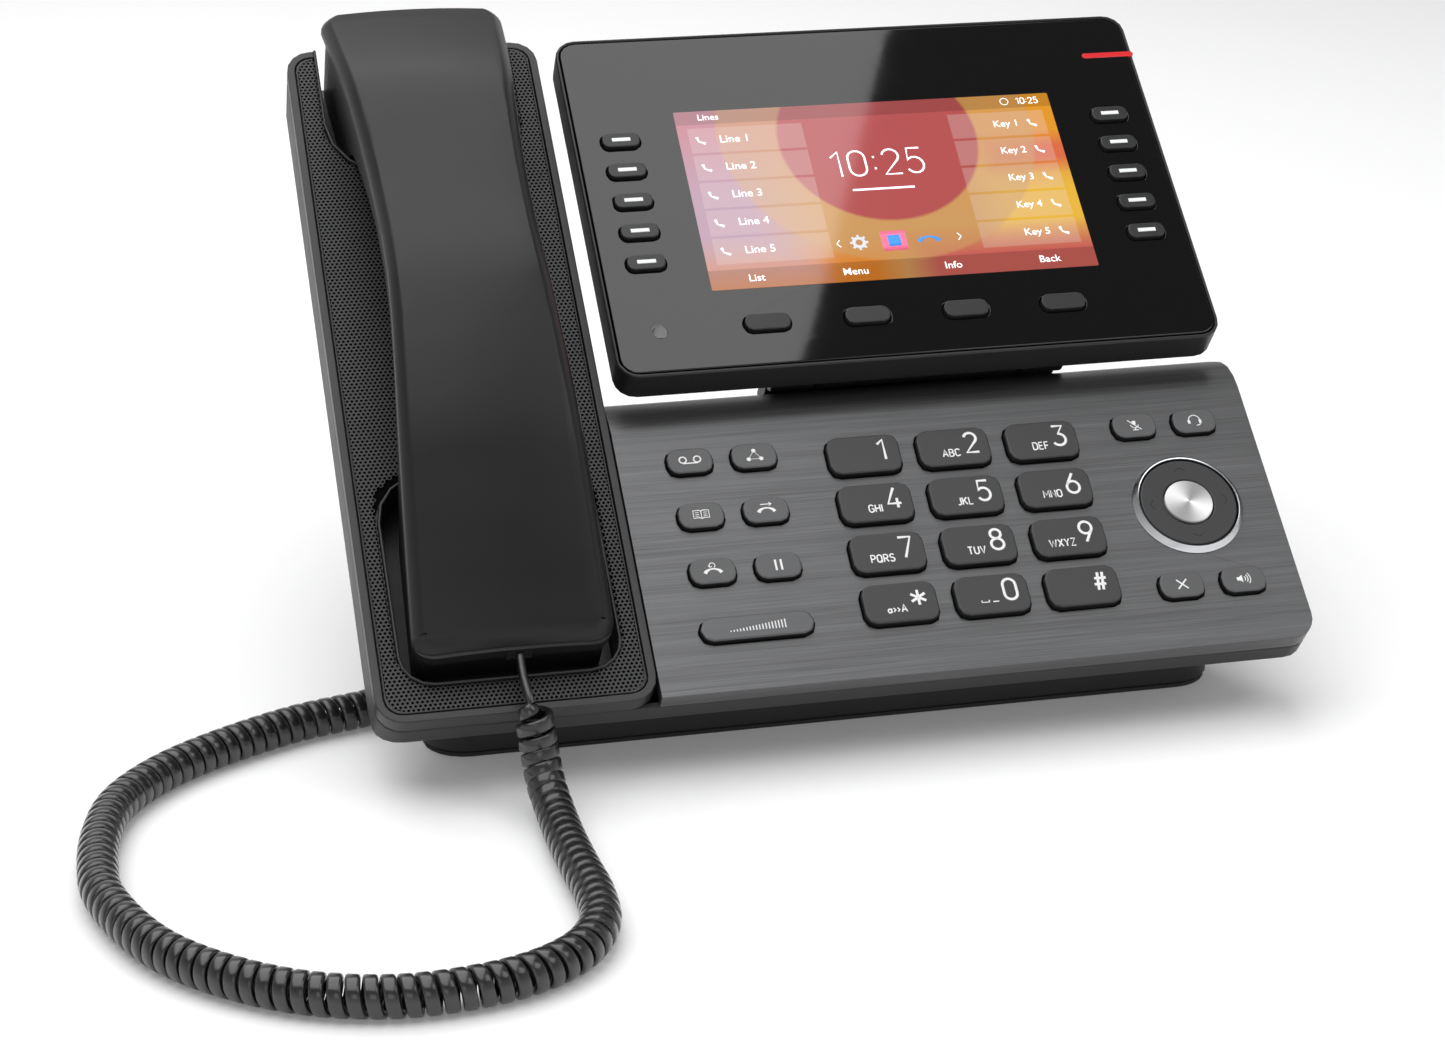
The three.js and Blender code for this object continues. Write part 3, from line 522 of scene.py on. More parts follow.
@dataclass(frozen=True)
class Finish:
    """One moulded, brushed or coated surface.

    Sizes are in metres. The grain is longer across the phone by the factor `stretch`.
    """

    name: str
    colour: Colour
    roughness: float = 0.5
    colour_spread: float = 0.10
    roughness_spread: float = 0.06
    grain: float = 0.0005
    cloud: float = 0.03
    stretch: float = 1.0
    relief: float = 0.00003
    metallic: float = 0.0
    coat: float = 0.0
    coat_roughness: float = 0.08
    specular: float = 0.5
    smears: float = 0.25
    emission: float = 0.0

    def material(self) -> bpy.types.Material:
        """The finish as a material, built once."""
        return bpy.data.materials.get(self.name) or self.build()

    def build(self) -> bpy.types.Material:
        """Build the node material.

        Returns:
            The new material.
        """
        material = bpy.data.materials.new(self.name)
        material.use_nodes = True
        tree = material.node_tree
        shader = tree.nodes["Principled BSDF"]
        shader.inputs["Metallic"].default_value = self.metallic
        shader.inputs["Coat Weight"].default_value = self.coat
        shader.inputs["Coat Roughness"].default_value = self.coat_roughness
        shader.inputs["Specular IOR Level"].default_value = self.specular
        place = add_node(tree, "ShaderNodeTexCoord", {})
        scaled = add_node(tree, "ShaderNodeMapping", {"Vector": place.outputs["Object"],
                          "Scale": (1.0 / self.stretch, 1.0, 1.0)})
        grain = add_node(tree, "ShaderNodeGroup", {}, node_tree=group(surface_grain))
        tree.links.new(scaled.outputs["Vector"], grain.inputs["Vector"])
        given = {"Colour": (*self.colour, 1.0), "Colour Spread": self.colour_spread,
                 "Grain Scale": 1 / self.grain, "Cloud Scale": 1 / self.cloud,
                 "Roughness": self.roughness, "Roughness Spread": self.roughness_spread}
        for label, value in given.items():
            grain.inputs[label].default_value = value
        smears = add_node(tree, "ShaderNodeGroup", {}, node_tree=group(handling_smears))
        tree.links.new(place.outputs["Object"], smears.inputs["Vector"])
        tree.links.new(grain.outputs["Roughness"], smears.inputs["Roughness"])
        smears.inputs["Amount"].default_value = self.smears
        bump = add_node(tree, "ShaderNodeBump", {"Height": grain.outputs["Height"], "Strength": 1.0,
                        "Distance": self.relief})
        tree.links.new(grain.outputs["Colour"], shader.inputs["Base Color"])
        tree.links.new(smears.outputs["Roughness"], shader.inputs["Roughness"])
        tree.links.new(bump.outputs["Normal"], shader.inputs["Normal"])
        if self.emission:
            tree.links.new(grain.outputs["Colour"], shader.inputs["Emission Color"])
            shader.inputs["Emission Strength"].default_value = self.emission
        return material

    def dress(self, piece: bpy.types.Object) -> bpy.types.Object:
        """Give the whole piece this finish."""
        piece.data.materials.clear()
        piece.data.materials.append(self.material())
        return piece

    def dress_faces(self, piece: bpy.types.Object,
                    chosen: Callable[[bpy.types.MeshPolygon], bool]) -> None:
        """Give some faces this finish beside the one already there.

        Args:
            piece: the mesh object.
            chosen: which faces are given it.
        """
        piece.data.materials.append(self.material())
        last = len(piece.data.materials) - 1
        for face in piece.data.polygons:
            if chosen(face):
                face.material_index = last


HOUSING = Finish("housing_plastic", (0.0135, 0.0137, 0.0145), 0.50, relief=0.00004)
CRADLE = Finish("cradle_plastic", (0.0165, 0.0167, 0.0175), 0.42, relief=0.00002, grain=0.0004)
GRILLE = Finish("grille_coat", (0.026, 0.0265, 0.028), 0.42, metallic=0.2, relief=0.00001,
                grain=0.0003)
# Near-black backing behind the grille, also laid on the hole walls as painted shade inside the
# holes.
BACKING_AND_HOLE_SHADE = Finish("grille_backing", (0.0015, 0.0015, 0.0016), 0.98, colour_spread=0.2, grain=0.0006,
               specular=0.1)
DRIVER = Finish("driver_steel", (0.10, 0.10, 0.11), 0.4, metallic=0.8)
HOOK = Finish("hook_plastic", (0.015, 0.015, 0.016), 0.4)
PANEL = Finish("brushed_panel", (0.126, 0.127, 0.130), 0.40, colour_spread=0.34,
               roughness_spread=0.05, grain=0.00035, cloud=0.003, stretch=90.0, relief=0.00001,
               metallic=0.85, smears=0.1)
BOARD = Finish("board_green", (0.02, 0.12, 0.06), 0.35)
DIGIT_TOP = Finish("digit_key_top", (0.033, 0.0333, 0.035), 0.45, relief=0.00002, grain=0.0003)
FUNCTION_TOP = Finish("function_key_top", (0.090, 0.091, 0.094), 0.45, relief=0.00002, grain=0.0003)
VOLUME_TOP = Finish("volume_key_top", (0.115, 0.116, 0.119), 0.42, colour_spread=0.2, grain=0.00035,
                    cloud=0.003, stretch=90.0, relief=0.00001, metallic=0.8)
# Near-black for key sides, partly their own colour and partly painted shade of the gap round a key;
# also the painted shade of the ring's engraved ticks.
KEY_SIDE = Finish("key_side", (0.008, 0.008, 0.009), 0.4)
# Emission gives the white printed legends a faint painted glow.
LEGEND = Finish("legend_white", (0.78, 0.78, 0.78), 0.5, colour_spread=0.03, relief=0.000002,
                emission=0.12)
DISPLAY_KEY = Finish("display_key_plastic", (0.0125, 0.0127, 0.0135), 0.38)
NAV_DARK = Finish("nav_ring_plastic", (0.026, 0.0265, 0.028), 0.40)
CHROME = Finish("nav_trim_chrome", (0.62, 0.63, 0.65), 0.14, colour_spread=0.03,
                roughness_spread=0.02, metallic=1.0, relief=0.000003, smears=0.1)
NECK = Finish("neck_plastic", (0.010, 0.010, 0.011), 0.5)
PIN = Finish("hinge_steel", (0.5, 0.5, 0.51), 0.3, metallic=1.0)
DISPLAY_CASE = Finish("display_plastic", (0.012, 0.012, 0.013), 0.42)
GLASS = Finish("black_glass", (0.004, 0.004, 0.0045), 0.04, colour_spread=0.05,
               roughness_spread=0.01, relief=0.0000008, grain=0.004, smears=0.05, specular=0.62)
LCD = Finish("lcd_frame", (0.20, 0.20, 0.21), 0.3, metallic=0.8)
HANDSET = Finish("handset_plastic", (0.0085, 0.0086, 0.0090), 0.36, relief=0.000012, grain=0.0004,
                 smears=0.2, specular=0.30)
HANDSET_INNER = Finish("handset_inner_plastic", (0.010, 0.010, 0.011), 0.48, relief=0.00003)
PLUG = Finish("smoked_plug", (0.015, 0.015, 0.016), 0.2, coat=0.5)
CORD = Finish("cord_jacket", (0.007, 0.007, 0.0075), 0.32, colour_spread=0.15,
              roughness_spread=0.05, relief=0.00001, grain=0.0006, coat=0.6, coat_roughness=0.12,
              smears=0.1)
STAND = Finish("stand_plastic", (0.006, 0.006, 0.0065), 0.5)
SOLE = Finish("sole_rubber", (0.02, 0.02, 0.021), 0.8, relief=0.00005)
ALERT = Finish("alert_lens", (0.55, 0.02, 0.025), 0.2, colour_spread=0.1, coat=0.5, emission=0.35)
MARK = Finish("screen_mark_white", (0.95, 0.95, 0.97), 0.3, colour_spread=0.02, relief=0.000001,
              emission=0.75)
WINDOW = Finish("key_window", (0.7, 0.72, 0.72), 0.3, emission=0.25)
SENSOR = Finish("sensor_window", (0.012, 0.010, 0.014), 0.12, coat=1.0)
ICON_GREY = Finish("icon_grey", (0.5, 0.5, 0.53), 0.3, emission=0.6)
ICON_PINK = Finish("icon_pink", (0.75, 0.12, 0.22), 0.3, emission=0.6)
ICON_BLUE = Finish("icon_blue", (0.03, 0.22, 0.75), 0.3, emission=0.6)
FLOOR = Finish("floor_paper", (0.93, 0.93, 0.935), 0.85, colour_spread=0.006, grain=0.002,
               cloud=0.6, relief=0.0, smears=0.0, specular=0.1, emission=0.10)


# ---------------------------------------------------------------- marks and lettering


def bow(x: float, y: float, wide: float, high: float, start: float, end: float) -> list[Point]:
    """Part of an ellipse.

    Args:
        x, y: its middle.
        wide, high: half its width and half its height.
        start, end: where it starts and ends, in degrees.

    Returns:
        The points along it.
    """
    fewest, step = 4, 24
    count = max(fewest, round(abs(end - start) / step))
    angles = [math.radians(start + (end - start) * i / count) for i in range(count + 1)]
    return [(x + wide * math.cos(a), y + high * math.sin(a)) for a in angles]


ROUND = [[*bow(0.28, 0.72, 0.28, 0.28, 0, 180), *bow(0.28, 0.28, 0.28, 0.28, 180, 360),
          (0.56, 0.72)]]
RIGHT_BOWL = [(0, 0), (0, 1), (0.24, 1), *bow(0.24, 0.73, 0.26, 0.27, 90, -90), (0, 0.46)]
Strokes = list[list[Point]]

# Each sign's width and pen strokes, for a capital one high.
SIGNS: dict[str, tuple[float, Strokes]] = {
    "0": (0.56, ROUND),
    "1": (0.34, [[(0.02, 0.78), (0.28, 1), (0.28, 0)]]),
    "2": (0.54, [bow(0.27, 0.73, 0.27, 0.27, 165, -38) + [(0.0, 0.0), (0.55, 0.0)]]),
    "3": (0.54, [[(0.03, 1), (0.50, 1), (0.25, 0.6), *bow(0.24, 0.30, 0.30, 0.30, 85, -150)]]),
    "4": (0.58, [[(0.36, 1), (0.0, 0.22), (0.58, 0.22)], [(0.42, 0.48), (0.42, 0.0)]]),
    "5": (0.54, [[(0.50, 1), (0.08, 1), (0.04, 0.52), *bow(0.25, 0.32, 0.29, 0.32, 125, -150)]]),
    "6": (0.56, [[(0.36, 1), (0.05, 0.46), *bow(0.28, 0.30, 0.28, 0.30, 150, -210)]]),
    "7": (0.54, [[(0.0, 1), (0.54, 1), (0.18, 0)]]),
    "8": (0.56, [bow(0.28, 0.27, 0.28, 0.27, 0, 360), bow(0.28, 0.77, 0.235, 0.23, 0, 360)]),
    "9": (0.56, [[(0.20, 0), (0.51, 0.54), *bow(0.28, 0.70, 0.28, 0.30, -30, 330)]]),
    "#": (0.66, [[(0.16, 0), (0.28, 1)], [(0.40, 0), (0.52, 1)], [(0.0, 0.33), (0.60, 0.33)],
                 [(0.06, 0.67), (0.66, 0.67)]]),
    "*": (0.80, [[(0.4, 0.08), (0.4, 0.92)], [(0.036, 0.29), (0.764, 0.71)],
                 [(0.036, 0.71), (0.764, 0.29)]]),
    ":": (0.10, [[(0.05, 0.22), (0.05, 0.30)], [(0.05, 0.68), (0.05, 0.76)]]),
    " ": (0.2, []),
    "A": (0.62, [[(0, 0), (0.31, 1), (0.62, 0)], [(0.12, 0.32), (0.5, 0.32)]]),
    "B": (0.52, [[(0, 0.54), (0, 1), (0.26, 1), *bow(0.26, 0.77, 0.22, 0.23, 90, -90), (0, 0.54)],
                 [(0, 0.54), (0.26, 0.54), *bow(0.26, 0.27, 0.26, 0.27, 90, -90), (0, 0),
                  (0, 0.54)]]),
    "C": (0.54, [bow(0.28, 0.72, 0.28, 0.28, 20, 180) + bow(0.28, 0.28, 0.28, 0.28, 180, 340)]),
    "D": (0.56, [[(0, 0), (0, 1), (0.26, 1), *bow(0.26, 0.7, 0.3, 0.3, 90, 0),
                  *bow(0.26, 0.3, 0.3, 0.3, 0, -90), (0, 0)]]),
    "E": (0.46, [[(0.46, 1), (0, 1), (0, 0), (0.46, 0)], [(0, 0.52), (0.40, 0.52)]]),
    "F": (0.44, [[(0.44, 1), (0, 1), (0, 0)], [(0, 0.5), (0.40, 0.5)]]),
    "G": (0.56, [bow(0.28, 0.72, 0.28, 0.28, 20, 180) + bow(0.28, 0.28, 0.28, 0.28, 180, 360)
                 + [(0.56, 0.46), (0.3, 0.46)]]),
    "H": (0.54, [[(0, 0), (0, 1)], [(0.54, 0), (0.54, 1)], [(0, 0.5), (0.54, 0.5)]]),
    "I": (0.04, [[(0.02, 0), (0.02, 1)]]),
    "J": (0.38, [[(0.38, 1), (0.38, 0.2), *bow(0.19, 0.2, 0.19, 0.2, 0, -150)]]),
    "K": (0.54, [[(0, 0), (0, 1)], [(0.52, 1), (0.04, 0.42)], [(0.18, 0.6), (0.54, 0)]]),
    "L": (0.44, [[(0, 1), (0, 0), (0.44, 0)]]),
    "M": (0.68, [[(0, 0), (0, 1), (0.34, 0.35), (0.68, 1), (0.68, 0)]]),
    "N": (0.56, [[(0, 0), (0, 1), (0.56, 0), (0.56, 1)]]),
    "O": (0.56, ROUND),
    "P": (0.50, [RIGHT_BOWL]),
    "Q": (0.58, [*ROUND, [(0.36, 0.22), (0.6, -0.04)]]),
    "R": (0.52, [RIGHT_BOWL, [(0.26, 0.46), (0.52, 0)]]),
    "S": (0.52, [bow(0.26, 0.76, 0.25, 0.24, 25, 255) + bow(0.26, 0.26, 0.26, 0.26, 75, -155)]),
    "T": (0.54, [[(0, 1), (0.54, 1)], [(0.27, 1), (0.27, 0)]]),
    "U": (0.54, [[(0, 1), (0, 0.27), *bow(0.27, 0.27, 0.27, 0.27, 180, 360), (0.54, 1)]]),
    "V": (0.58, [[(0, 1), (0.29, 0), (0.58, 1)]]),
    "W": (0.84, [[(0, 1), (0.2, 0), (0.42, 0.85), (0.64, 0), (0.84, 1)]]),
    "X": (0.56, [[(0, 0), (0.56, 1)], [(0, 1), (0.56, 0)]]),
    "Y": (0.56, [[(0, 1), (0.28, 0.48), (0.56, 1)], [(0.28, 0.48), (0.28, 0)]]),
    "Z": (0.54, [[(0, 1), (0.54, 1), (0, 0), (0.54, 0)]]),
    "a": (0.44, [bow(0.2, 0.26, 0.2, 0.26, 0, 360), [(0.42, 0.56), (0.42, 0)]]),
    ">": (0.26, [[(0, 0.62), (0.24, 0.36), (0, 0.10)]]),
}


@dataclass
class Ink:
    """Printed lines and letters, gathered and made into one thin raised body.

    Its middle is at x, y in the slab's millimetres, `height` is the surface that it lies on, and
    `size` is a factor on all its measures.
    """

    name: str
    x: float
    y: float
    height: float
    size: float = 1.0
    thickness: float = 0.022
    segments: int = 16
    lines: list[tuple[list[Point], list[float], bool]] = field(default_factory=list)
    words: list[bpy.types.Object] = field(default_factory=list)

    def line(self, points: Sequence[Point], width: float | Sequence[float],
             closed: bool = False) -> "Ink":
        """Add a stroke.

        Args:
            points: the points along it.
            width: its width, or one width at each point.
            closed: whether its end joins its start.

        Returns:
            This mark.
        """
        widths = list(width) if isinstance(width, (list, tuple)) else [width] * len(points)
        self.lines.append((list(points), widths, closed))
        return self

    def ring(self, x: float, y: float, radius: float, width: float, start: float = 0,
             end: float = 360) -> "Ink":
        """Add a circle or an arc.

        Args:
            x, y: its middle.
            radius: its radius.
            width: width of the stroke.
            start, end: where it starts and ends, in degrees.

        Returns:
            This mark.
        """
        whole = end - start >= 360
        count = self.segments if whole else self.segments + 1
        angles = [math.radians(start + (end - start) * i / self.segments) for i in range(count)]
        points = [(x + radius * math.cos(a), y + radius * math.sin(a)) for a in angles]
        return self.line(points, width, whole)

    def dot(self, x: float, y: float, radius: float) -> "Ink":
        """Add a filled spot."""
        return self.ring(x, y, radius / 2, radius)

    def bar(self, x0: float, y0: float, x1: float, y1: float) -> "Ink":
        """Add a filled rectangle between two corners."""
        middle = (y0 + y1) / 2
        return self.line([(x0, middle), (x1, middle)], abs(y1 - y0))

    def text(self, words: str, size: float, x: float = 0, y: float = 0,
             align: Align = Align.CENTER) -> "Ink":
        """Add letters.

        Args:
            words: what is written.
            size: height of a capital.
            x, y: where it stands, with y at half its height.
            align: which end stands there.

        Returns:
            This mark.
        """
        cap_height, boldness = 0.70, 0.004
        half_thick = 0.012
        bpy.ops.object.select_all(action="DESELECT")
        bpy.ops.object.text_add()
        item = bpy.context.active_object
        item.data.body = words
        item.data.size = size / cap_height * self.size
        item.data.resolution_u = 3
        item.data.align_x = align.name
        item.data.align_y = "CENTER"
        item.data.extrude = half_thick
        item.data.offset = boldness * size * self.size
        bpy.ops.object.convert(target="MESH")
        item.data.transform(Matrix.Translation((self.x + x * self.size, self.y + y * self.size,
                                                self.height + half_thick)))
        self.words.append(item)
        return self

    def word(self, signs: str, size: float, x: float, y: float, pen: float,
             align: Align = Align.CENTER) -> "Ink":
        """Write signs with a round pen.

        Args:
            signs: what is written.
            size: height of a capital.
            x, y: where it stands, with y at half its height.
            pen: width of the strokes.
            align: which end stands there.

        Returns:
            This mark.
        """
        gap = 0.24
        total = sum(SIGNS[sign][0] + gap for sign in signs) - gap
        place = x - total * size * align.value
        for sign in signs:
            wide, strokes = SIGNS[sign]
            for stroke in strokes:
                self.line([(place + size * a, y + size * (b - 0.5)) for a, b in stroke], pen)
            place += (wide + gap) * size
        return self

    def make(self, finish: Finish = LEGEND) -> bpy.types.Object:
        """Turn all strokes and letters into one mesh.

        Args:
            finish: what it is printed with.

        Returns:
            The mark as one mesh object.
        """
        parts = list(self.words)
        if self.lines:
            data = bpy.data.curves.new(self.name, "CURVE")
            data.dimensions = "3D"
            data.bevel_depth = 0.5
            data.bevel_resolution = 1
            data.use_fill_caps = True
            for points, widths, closed in self.lines:
                spline = data.splines.new("POLY")
                spline.points.add(len(points) - 1)
                for knot, (x, y), width in zip(spline.points, points, widths):
                    knot.co = (x * self.size, y * self.size, 0, 1)
                    knot.radius = width * self.size
                spline.use_cyclic_u = closed
            strokes = bpy.data.objects.new(self.name, data)
            bpy.context.scene.collection.objects.link(strokes)
            pick(strokes)
            bpy.ops.object.convert(target="MESH")
            strokes = bpy.context.active_object
            for vertex in strokes.data.vertices:
                raised = self.thickness if vertex.co.z > 0.001 else 0.0
                vertex.co = (vertex.co.x + self.x, vertex.co.y + self.y, self.height + raised)
            parts.append(strokes)
        for part in parts:
            finish.dress(part)
        return joined(self.name, *parts)


# ---------------------------------------------------------------- studio


@dataclass
class Studio:
    """Camera, soft boxes, surroundings and floor.

    The horizon and the zenith are each a height in the sky, from 0 to 1, with the grey there.
    """

    place: Place = (-0.19335, -0.76217, 0.3338)
    turn: Place = (68.94, 0.0, -13.11)
    lens: float = 74.19
    sensor: float = 36.0
    floor_size: float = 14.0
    horizon: Point = (0.05, 0.9)
    zenith: Point = (0.75, 0.10)

    def camera(self) -> None:
        """Set up the camera."""
        data = bpy.data.cameras.new("camera")
        data.lens, data.sensor_width, data.sensor_fit = self.lens, self.sensor, "HORIZONTAL"
        data.clip_start = 0.01
        item = bpy.data.objects.new("camera", data)
        item.location = self.place
        item.rotation_euler = [math.radians(a) for a in self.turn]
        bpy.context.scene.collection.objects.link(item)
        bpy.context.scene.camera = item

    def soft_box(self, name: str, centre: Sequence[float], size: Point, radiance: float,
                 turn: float = 0.0, aim: Sequence[float] | None = None) -> None:
        """Hang one rectangular light.

        Args:
            name: name of the light.
            centre: its middle, in metres.
            size: its width and length.
            radiance: its brightness.
            turn: turn about the upright in degrees, if it points straight down.
            aim: the point that it faces, if not straight down.
        """
        data = bpy.data.lights.new(name, "AREA")
        data.shape, data.size, data.size_y = "RECTANGLE", size[0], size[1]
        data.energy = radiance * math.pi * size[0] * size[1]
        item = bpy.data.objects.new(name, data)
        item.location = centre
        item.rotation_euler = (0, 0, math.radians(turn))
        if aim is not None:
            item.rotation_euler = (Vector(aim) - Vector(centre)).to_track_quat("-Z", "Y").to_euler()
        bpy.context.scene.collection.objects.link(item)

    def lights(self) -> None:
        """Hang the soft boxes."""
        self.soft_box("box_overhead", (-0.3531, 0.2328, 1.2), (1.4, 2.0), 2.3, turn=-17.98)
        self.soft_box("box_right", (0.75, -0.62, 1.2), (0.75, 0.8), 2.4)
        self.soft_box("box_front", (-0.5, -1.7, 0.9), (0.9, 0.7), 1.2, aim=(0, 0, 0.05))

    def surroundings(self) -> None:
        """Pale near the ground, dark overhead."""
        world = bpy.data.worlds.new("studio")
        bpy.context.scene.world = world
        world.use_nodes = True
        tree = world.node_tree
        place = add_node(tree, "ShaderNodeTexCoord", {})
        parts = add_node(tree, "ShaderNodeSeparateXYZ", {"Vector": place.outputs["Generated"]})
        ramp = add_node(tree, "ShaderNodeValToRGB", {"Fac": parts.outputs["Z"]})
        for stop, (height, grey) in zip(ramp.color_ramp.elements, (self.horizon, self.zenith)):
            stop.position = height
            stop.color = (grey, grey, grey, 1)
        tree.links.new(ramp.outputs["Color"], tree.nodes["Background"].inputs["Color"])

    def floor(self) -> None:
        """Lay the pale floor."""
        bpy.ops.object.select_all(action="DESELECT")
        bpy.ops.mesh.primitive_plane_add(size=self.floor_size)
        item = named("floor")
        FLOOR.dress(item)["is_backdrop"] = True

    def build(self) -> None:
        """Set up everything but the object."""
        self.camera()
        self.lights()
        self.surroundings()
        self.floor()
        bpy.context.scene.view_settings.view_transform = "Standard"


# ---------------------------------------------------------------- cords


def catmull_rom(points: Sequence[Sequence[float]], per_span: int = 40) -> np.ndarray:
    """Smooth curve through points, without loops where they lie close together.

    Args:
        points: the points that it passes.
        per_span: points made between each pair.

    Returns:
        An array of points along the curve.
    """
    knots = np.array(points, dtype=float)
    ends = np.vstack([2 * knots[0] - knots[1], knots, 2 * knots[-1] - knots[-2]])
    out = []
    for i in range(1, len(ends) - 2):
        p0, p1, p2, p3 = ends[i - 1:i + 3]
        t0 = 0.0
        t1 = t0 + max(np.linalg.norm(p1 - p0) ** 0.5, 1e-6)
        t2 = t1 + max(np.linalg.norm(p2 - p1) ** 0.5, 1e-6)
        t3 = t2 + max(np.linalg.norm(p3 - p2) ** 0.5, 1e-6)
        for t in np.linspace(t1, t2, per_span, endpoint=False):
            a1 = (t1 - t) / (t1 - t0) * p0 + (t - t0) / (t1 - t0) * p1
            a2 = (t2 - t) / (t2 - t1) * p1 + (t - t1) / (t2 - t1) * p2
            a3 = (t3 - t) / (t3 - t2) * p2 + (t - t2) / (t3 - t2) * p3
            b1 = (t2 - t) / (t2 - t0) * a1 + (t - t0) / (t2 - t0) * a2
            b2 = (t3 - t) / (t3 - t1) * a2 + (t - t1) / (t3 - t1) * a3
            out.append((t2 - t) / (t2 - t1) * b1 + (t - t1) / (t2 - t1) * b2)
    out.append(knots[-1])
    return np.array(out)


def lengths_along(points: np.ndarray) -> np.ndarray:
    """Distance from the start to each point."""
    return np.concatenate([[0.0], np.cumsum(np.linalg.norm(np.diff(points, axis=0), axis=1))])


def unit(vectors: np.ndarray) -> np.ndarray:
    """Vectors with length one."""
    return vectors / np.maximum(np.linalg.norm(vectors, axis=-1, keepdims=True), 1e-12)


@dataclass
class CurlyCord:
    """Coiled flat cord from the handset to the base, and its straight lead under the phone.

    The routes are in level millimetres: across, away and up from the desk. The coil's first
    stretch hangs from the handset.
    """

    band_width: float = 3.45
    band_thickness: float = 2.0
    band_round: float = 0.7
    helix_radius: float = 3.95
    pitch: float = 3.95
    ease_turns: float = 0.9
    points_per_turn: int = 22
    lead_points: int = 14
    handset_lead: tuple[Place, ...] = ((36.7, 5.8, 36.49), (36.7, 0.96, 32.79))
    route: tuple[Place, ...] = (
        (37.5, -5, 28), (38.3, -6.5, 22.6), (39, -8, 15.8), (39.6, -12, 9.6), (40.4, -20, 5.8),
        (40.6, -34, 5.1), (41.2, -49, 5.1), (42, -64, 5.1), (40.5, -77.5, 5.1), (34.5, -88, 5.1),
        (25, -95, 5.1), (12, -99.2, 5.1), (-10, -99.7, 5.1), (-33, -91, 5.1), (-56.5, -69, 5.1),
        (-69, -39.5, 5.1), (-70.1, -23, 5.1), (-68.6, -6.5, 5.1), (-64.5, 8.5, 5.1), (-56, 21, 5.1),
        (-43.5, 32, 5.1), (-17.5, 46.5, 5.1), (3.9, 53, 5.1), (15, 57.5, 5.4), (23, 64, 7.5),
        (26.5, 71, 12))
    base_lead: tuple[Place, ...] = (
        (27.3, 75, 17.5), (27.8, 81, 27), (27.5, 88, 39), (26.6, 92, 49))
    base_jack: tuple[Place, ...] = ((26.0, 92.0, -29.2), (26.0, 92.0, -22.8))
    coil_end_height: float = 9.6
    still_height: float = 0.010
    lifted_height: float = 0.036

    def band(self, name: str, centre: np.ndarray, outward: np.ndarray) -> bpy.types.Object:
        """Skin a flat cord with rounded edges along a line.

        Args:
            name: name of the piece.
            centre: points of its middle line.
            outward: the direction that its flat side faces at each point.

        Returns:
            The new mesh object.
        """
        along = unit(np.gradient(centre, axis=0))
        face = unit(outward - along * np.sum(outward * along, axis=1, keepdims=True))
        across = np.cross(along, face)
        x, y = self.band_width / 2 - self.band_round, self.band_thickness / 2 - self.band_round
        section = []
        for side, top, start in ((x, y, 0), (-x, y, 90), (-x, -y, 180), (x, -y, 270)):
            for angle in (math.radians(start + 45 * step) for step in range(3)):
                section.append((side + self.band_round * math.cos(angle),
                                top + self.band_round * math.sin(angle)))
        sides = len(section)
        rings = [centre + across * x + face * y for x, y in section]
        points = np.stack(rings, axis=1).reshape(-1, 3)
        count = len(centre)
        faces = [(i * sides + j, i * sides + (j + 1) % sides, (i + 1) * sides + (j + 1) % sides,
                  (i + 1) * sides + j) for i in range(count - 1) for j in range(sides)]
        faces.append(tuple(range(sides))[::-1])
        faces.append(tuple((count - 1) * sides + j for j in range(sides)))
        mesh = bpy.data.meshes.new(name)
        mesh.from_pydata(points.tolist(), [], faces)
        piece = bpy.data.objects.new(name, mesh)
        bpy.context.scene.collection.objects.link(piece)
        with editing(piece):
            bpy.ops.mesh.select_all(action="SELECT")
            bpy.ops.mesh.normals_make_consistent(inside=False)
        pick(piece)
        bpy.ops.object.shade_smooth_by_angle(angle=math.radians(50))
        return CORD.dress(piece)

    def coil_line(self) -> tuple[np.ndarray, np.ndarray]:
        """Middle line of the wound cord.

        Returns:
            The line's points, and the direction that the flat side faces at each.
        """
        spine = catmull_rom([*self.handset_lead, *self.route])
        start_height = self.route[0][2]
        distance = lengths_along(spine)
        lead = float(distance[np.argmax(spine[:, 2] <= start_height)])
        past = (distance > distance[-1] / 2) & (spine[:, 2] >= self.coil_end_height)
        end = float(distance[np.argmax(past)])
        step = self.pitch / self.points_per_turn
        places = np.concatenate([np.linspace(0, lead, self.lead_points, endpoint=False),
                                 np.arange(lead, end, step)])
        line = np.stack([np.interp(places, distance, spine[:, k]) for k in range(3)], axis=1)
        tangent = unit(np.gradient(line, axis=0))
        side = np.zeros_like(line)
        side[0] = (1, 0, 0)
        for i in range(1, len(line)):
            side[i] = side[i - 1] - tangent[i] * np.dot(side[i - 1], tangent[i])
            side[i] /= np.linalg.norm(side[i])
        other = np.cross(tangent, side)
        turned = np.maximum(places - lead, 0)
        ease = self.ease_turns * self.pitch
        grow = np.clip(np.minimum(turned / ease, (end - places) / ease), 0, 1)
        radius = self.helix_radius * grow * grow * (3 - 2 * grow)
        angle = 2 * math.pi * turned / self.pitch
        outward = np.cos(angle)[:, None] * side + np.sin(angle)[:, None] * other
        return line + outward * radius[:, None], outward

    def build(self) -> None:
        centre, outward = self.coil_line()
        coil = settle(self.band("curly_cord", centre, outward), "", "cord",
                      "cord_coil", "cord_handset_lead", matrix=LEVEL)
        path = [LEVEL @ Vector(p) for p in centre]
        total = float(lengths_along(centre)[-1]) * MM
        tuple(path[0])
        [tuple(p) for p in path]
        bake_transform(coil)
        LOG.info("curly cord length %.3f m", total)
        self.build_base_lead(tuple(centre[-1]))

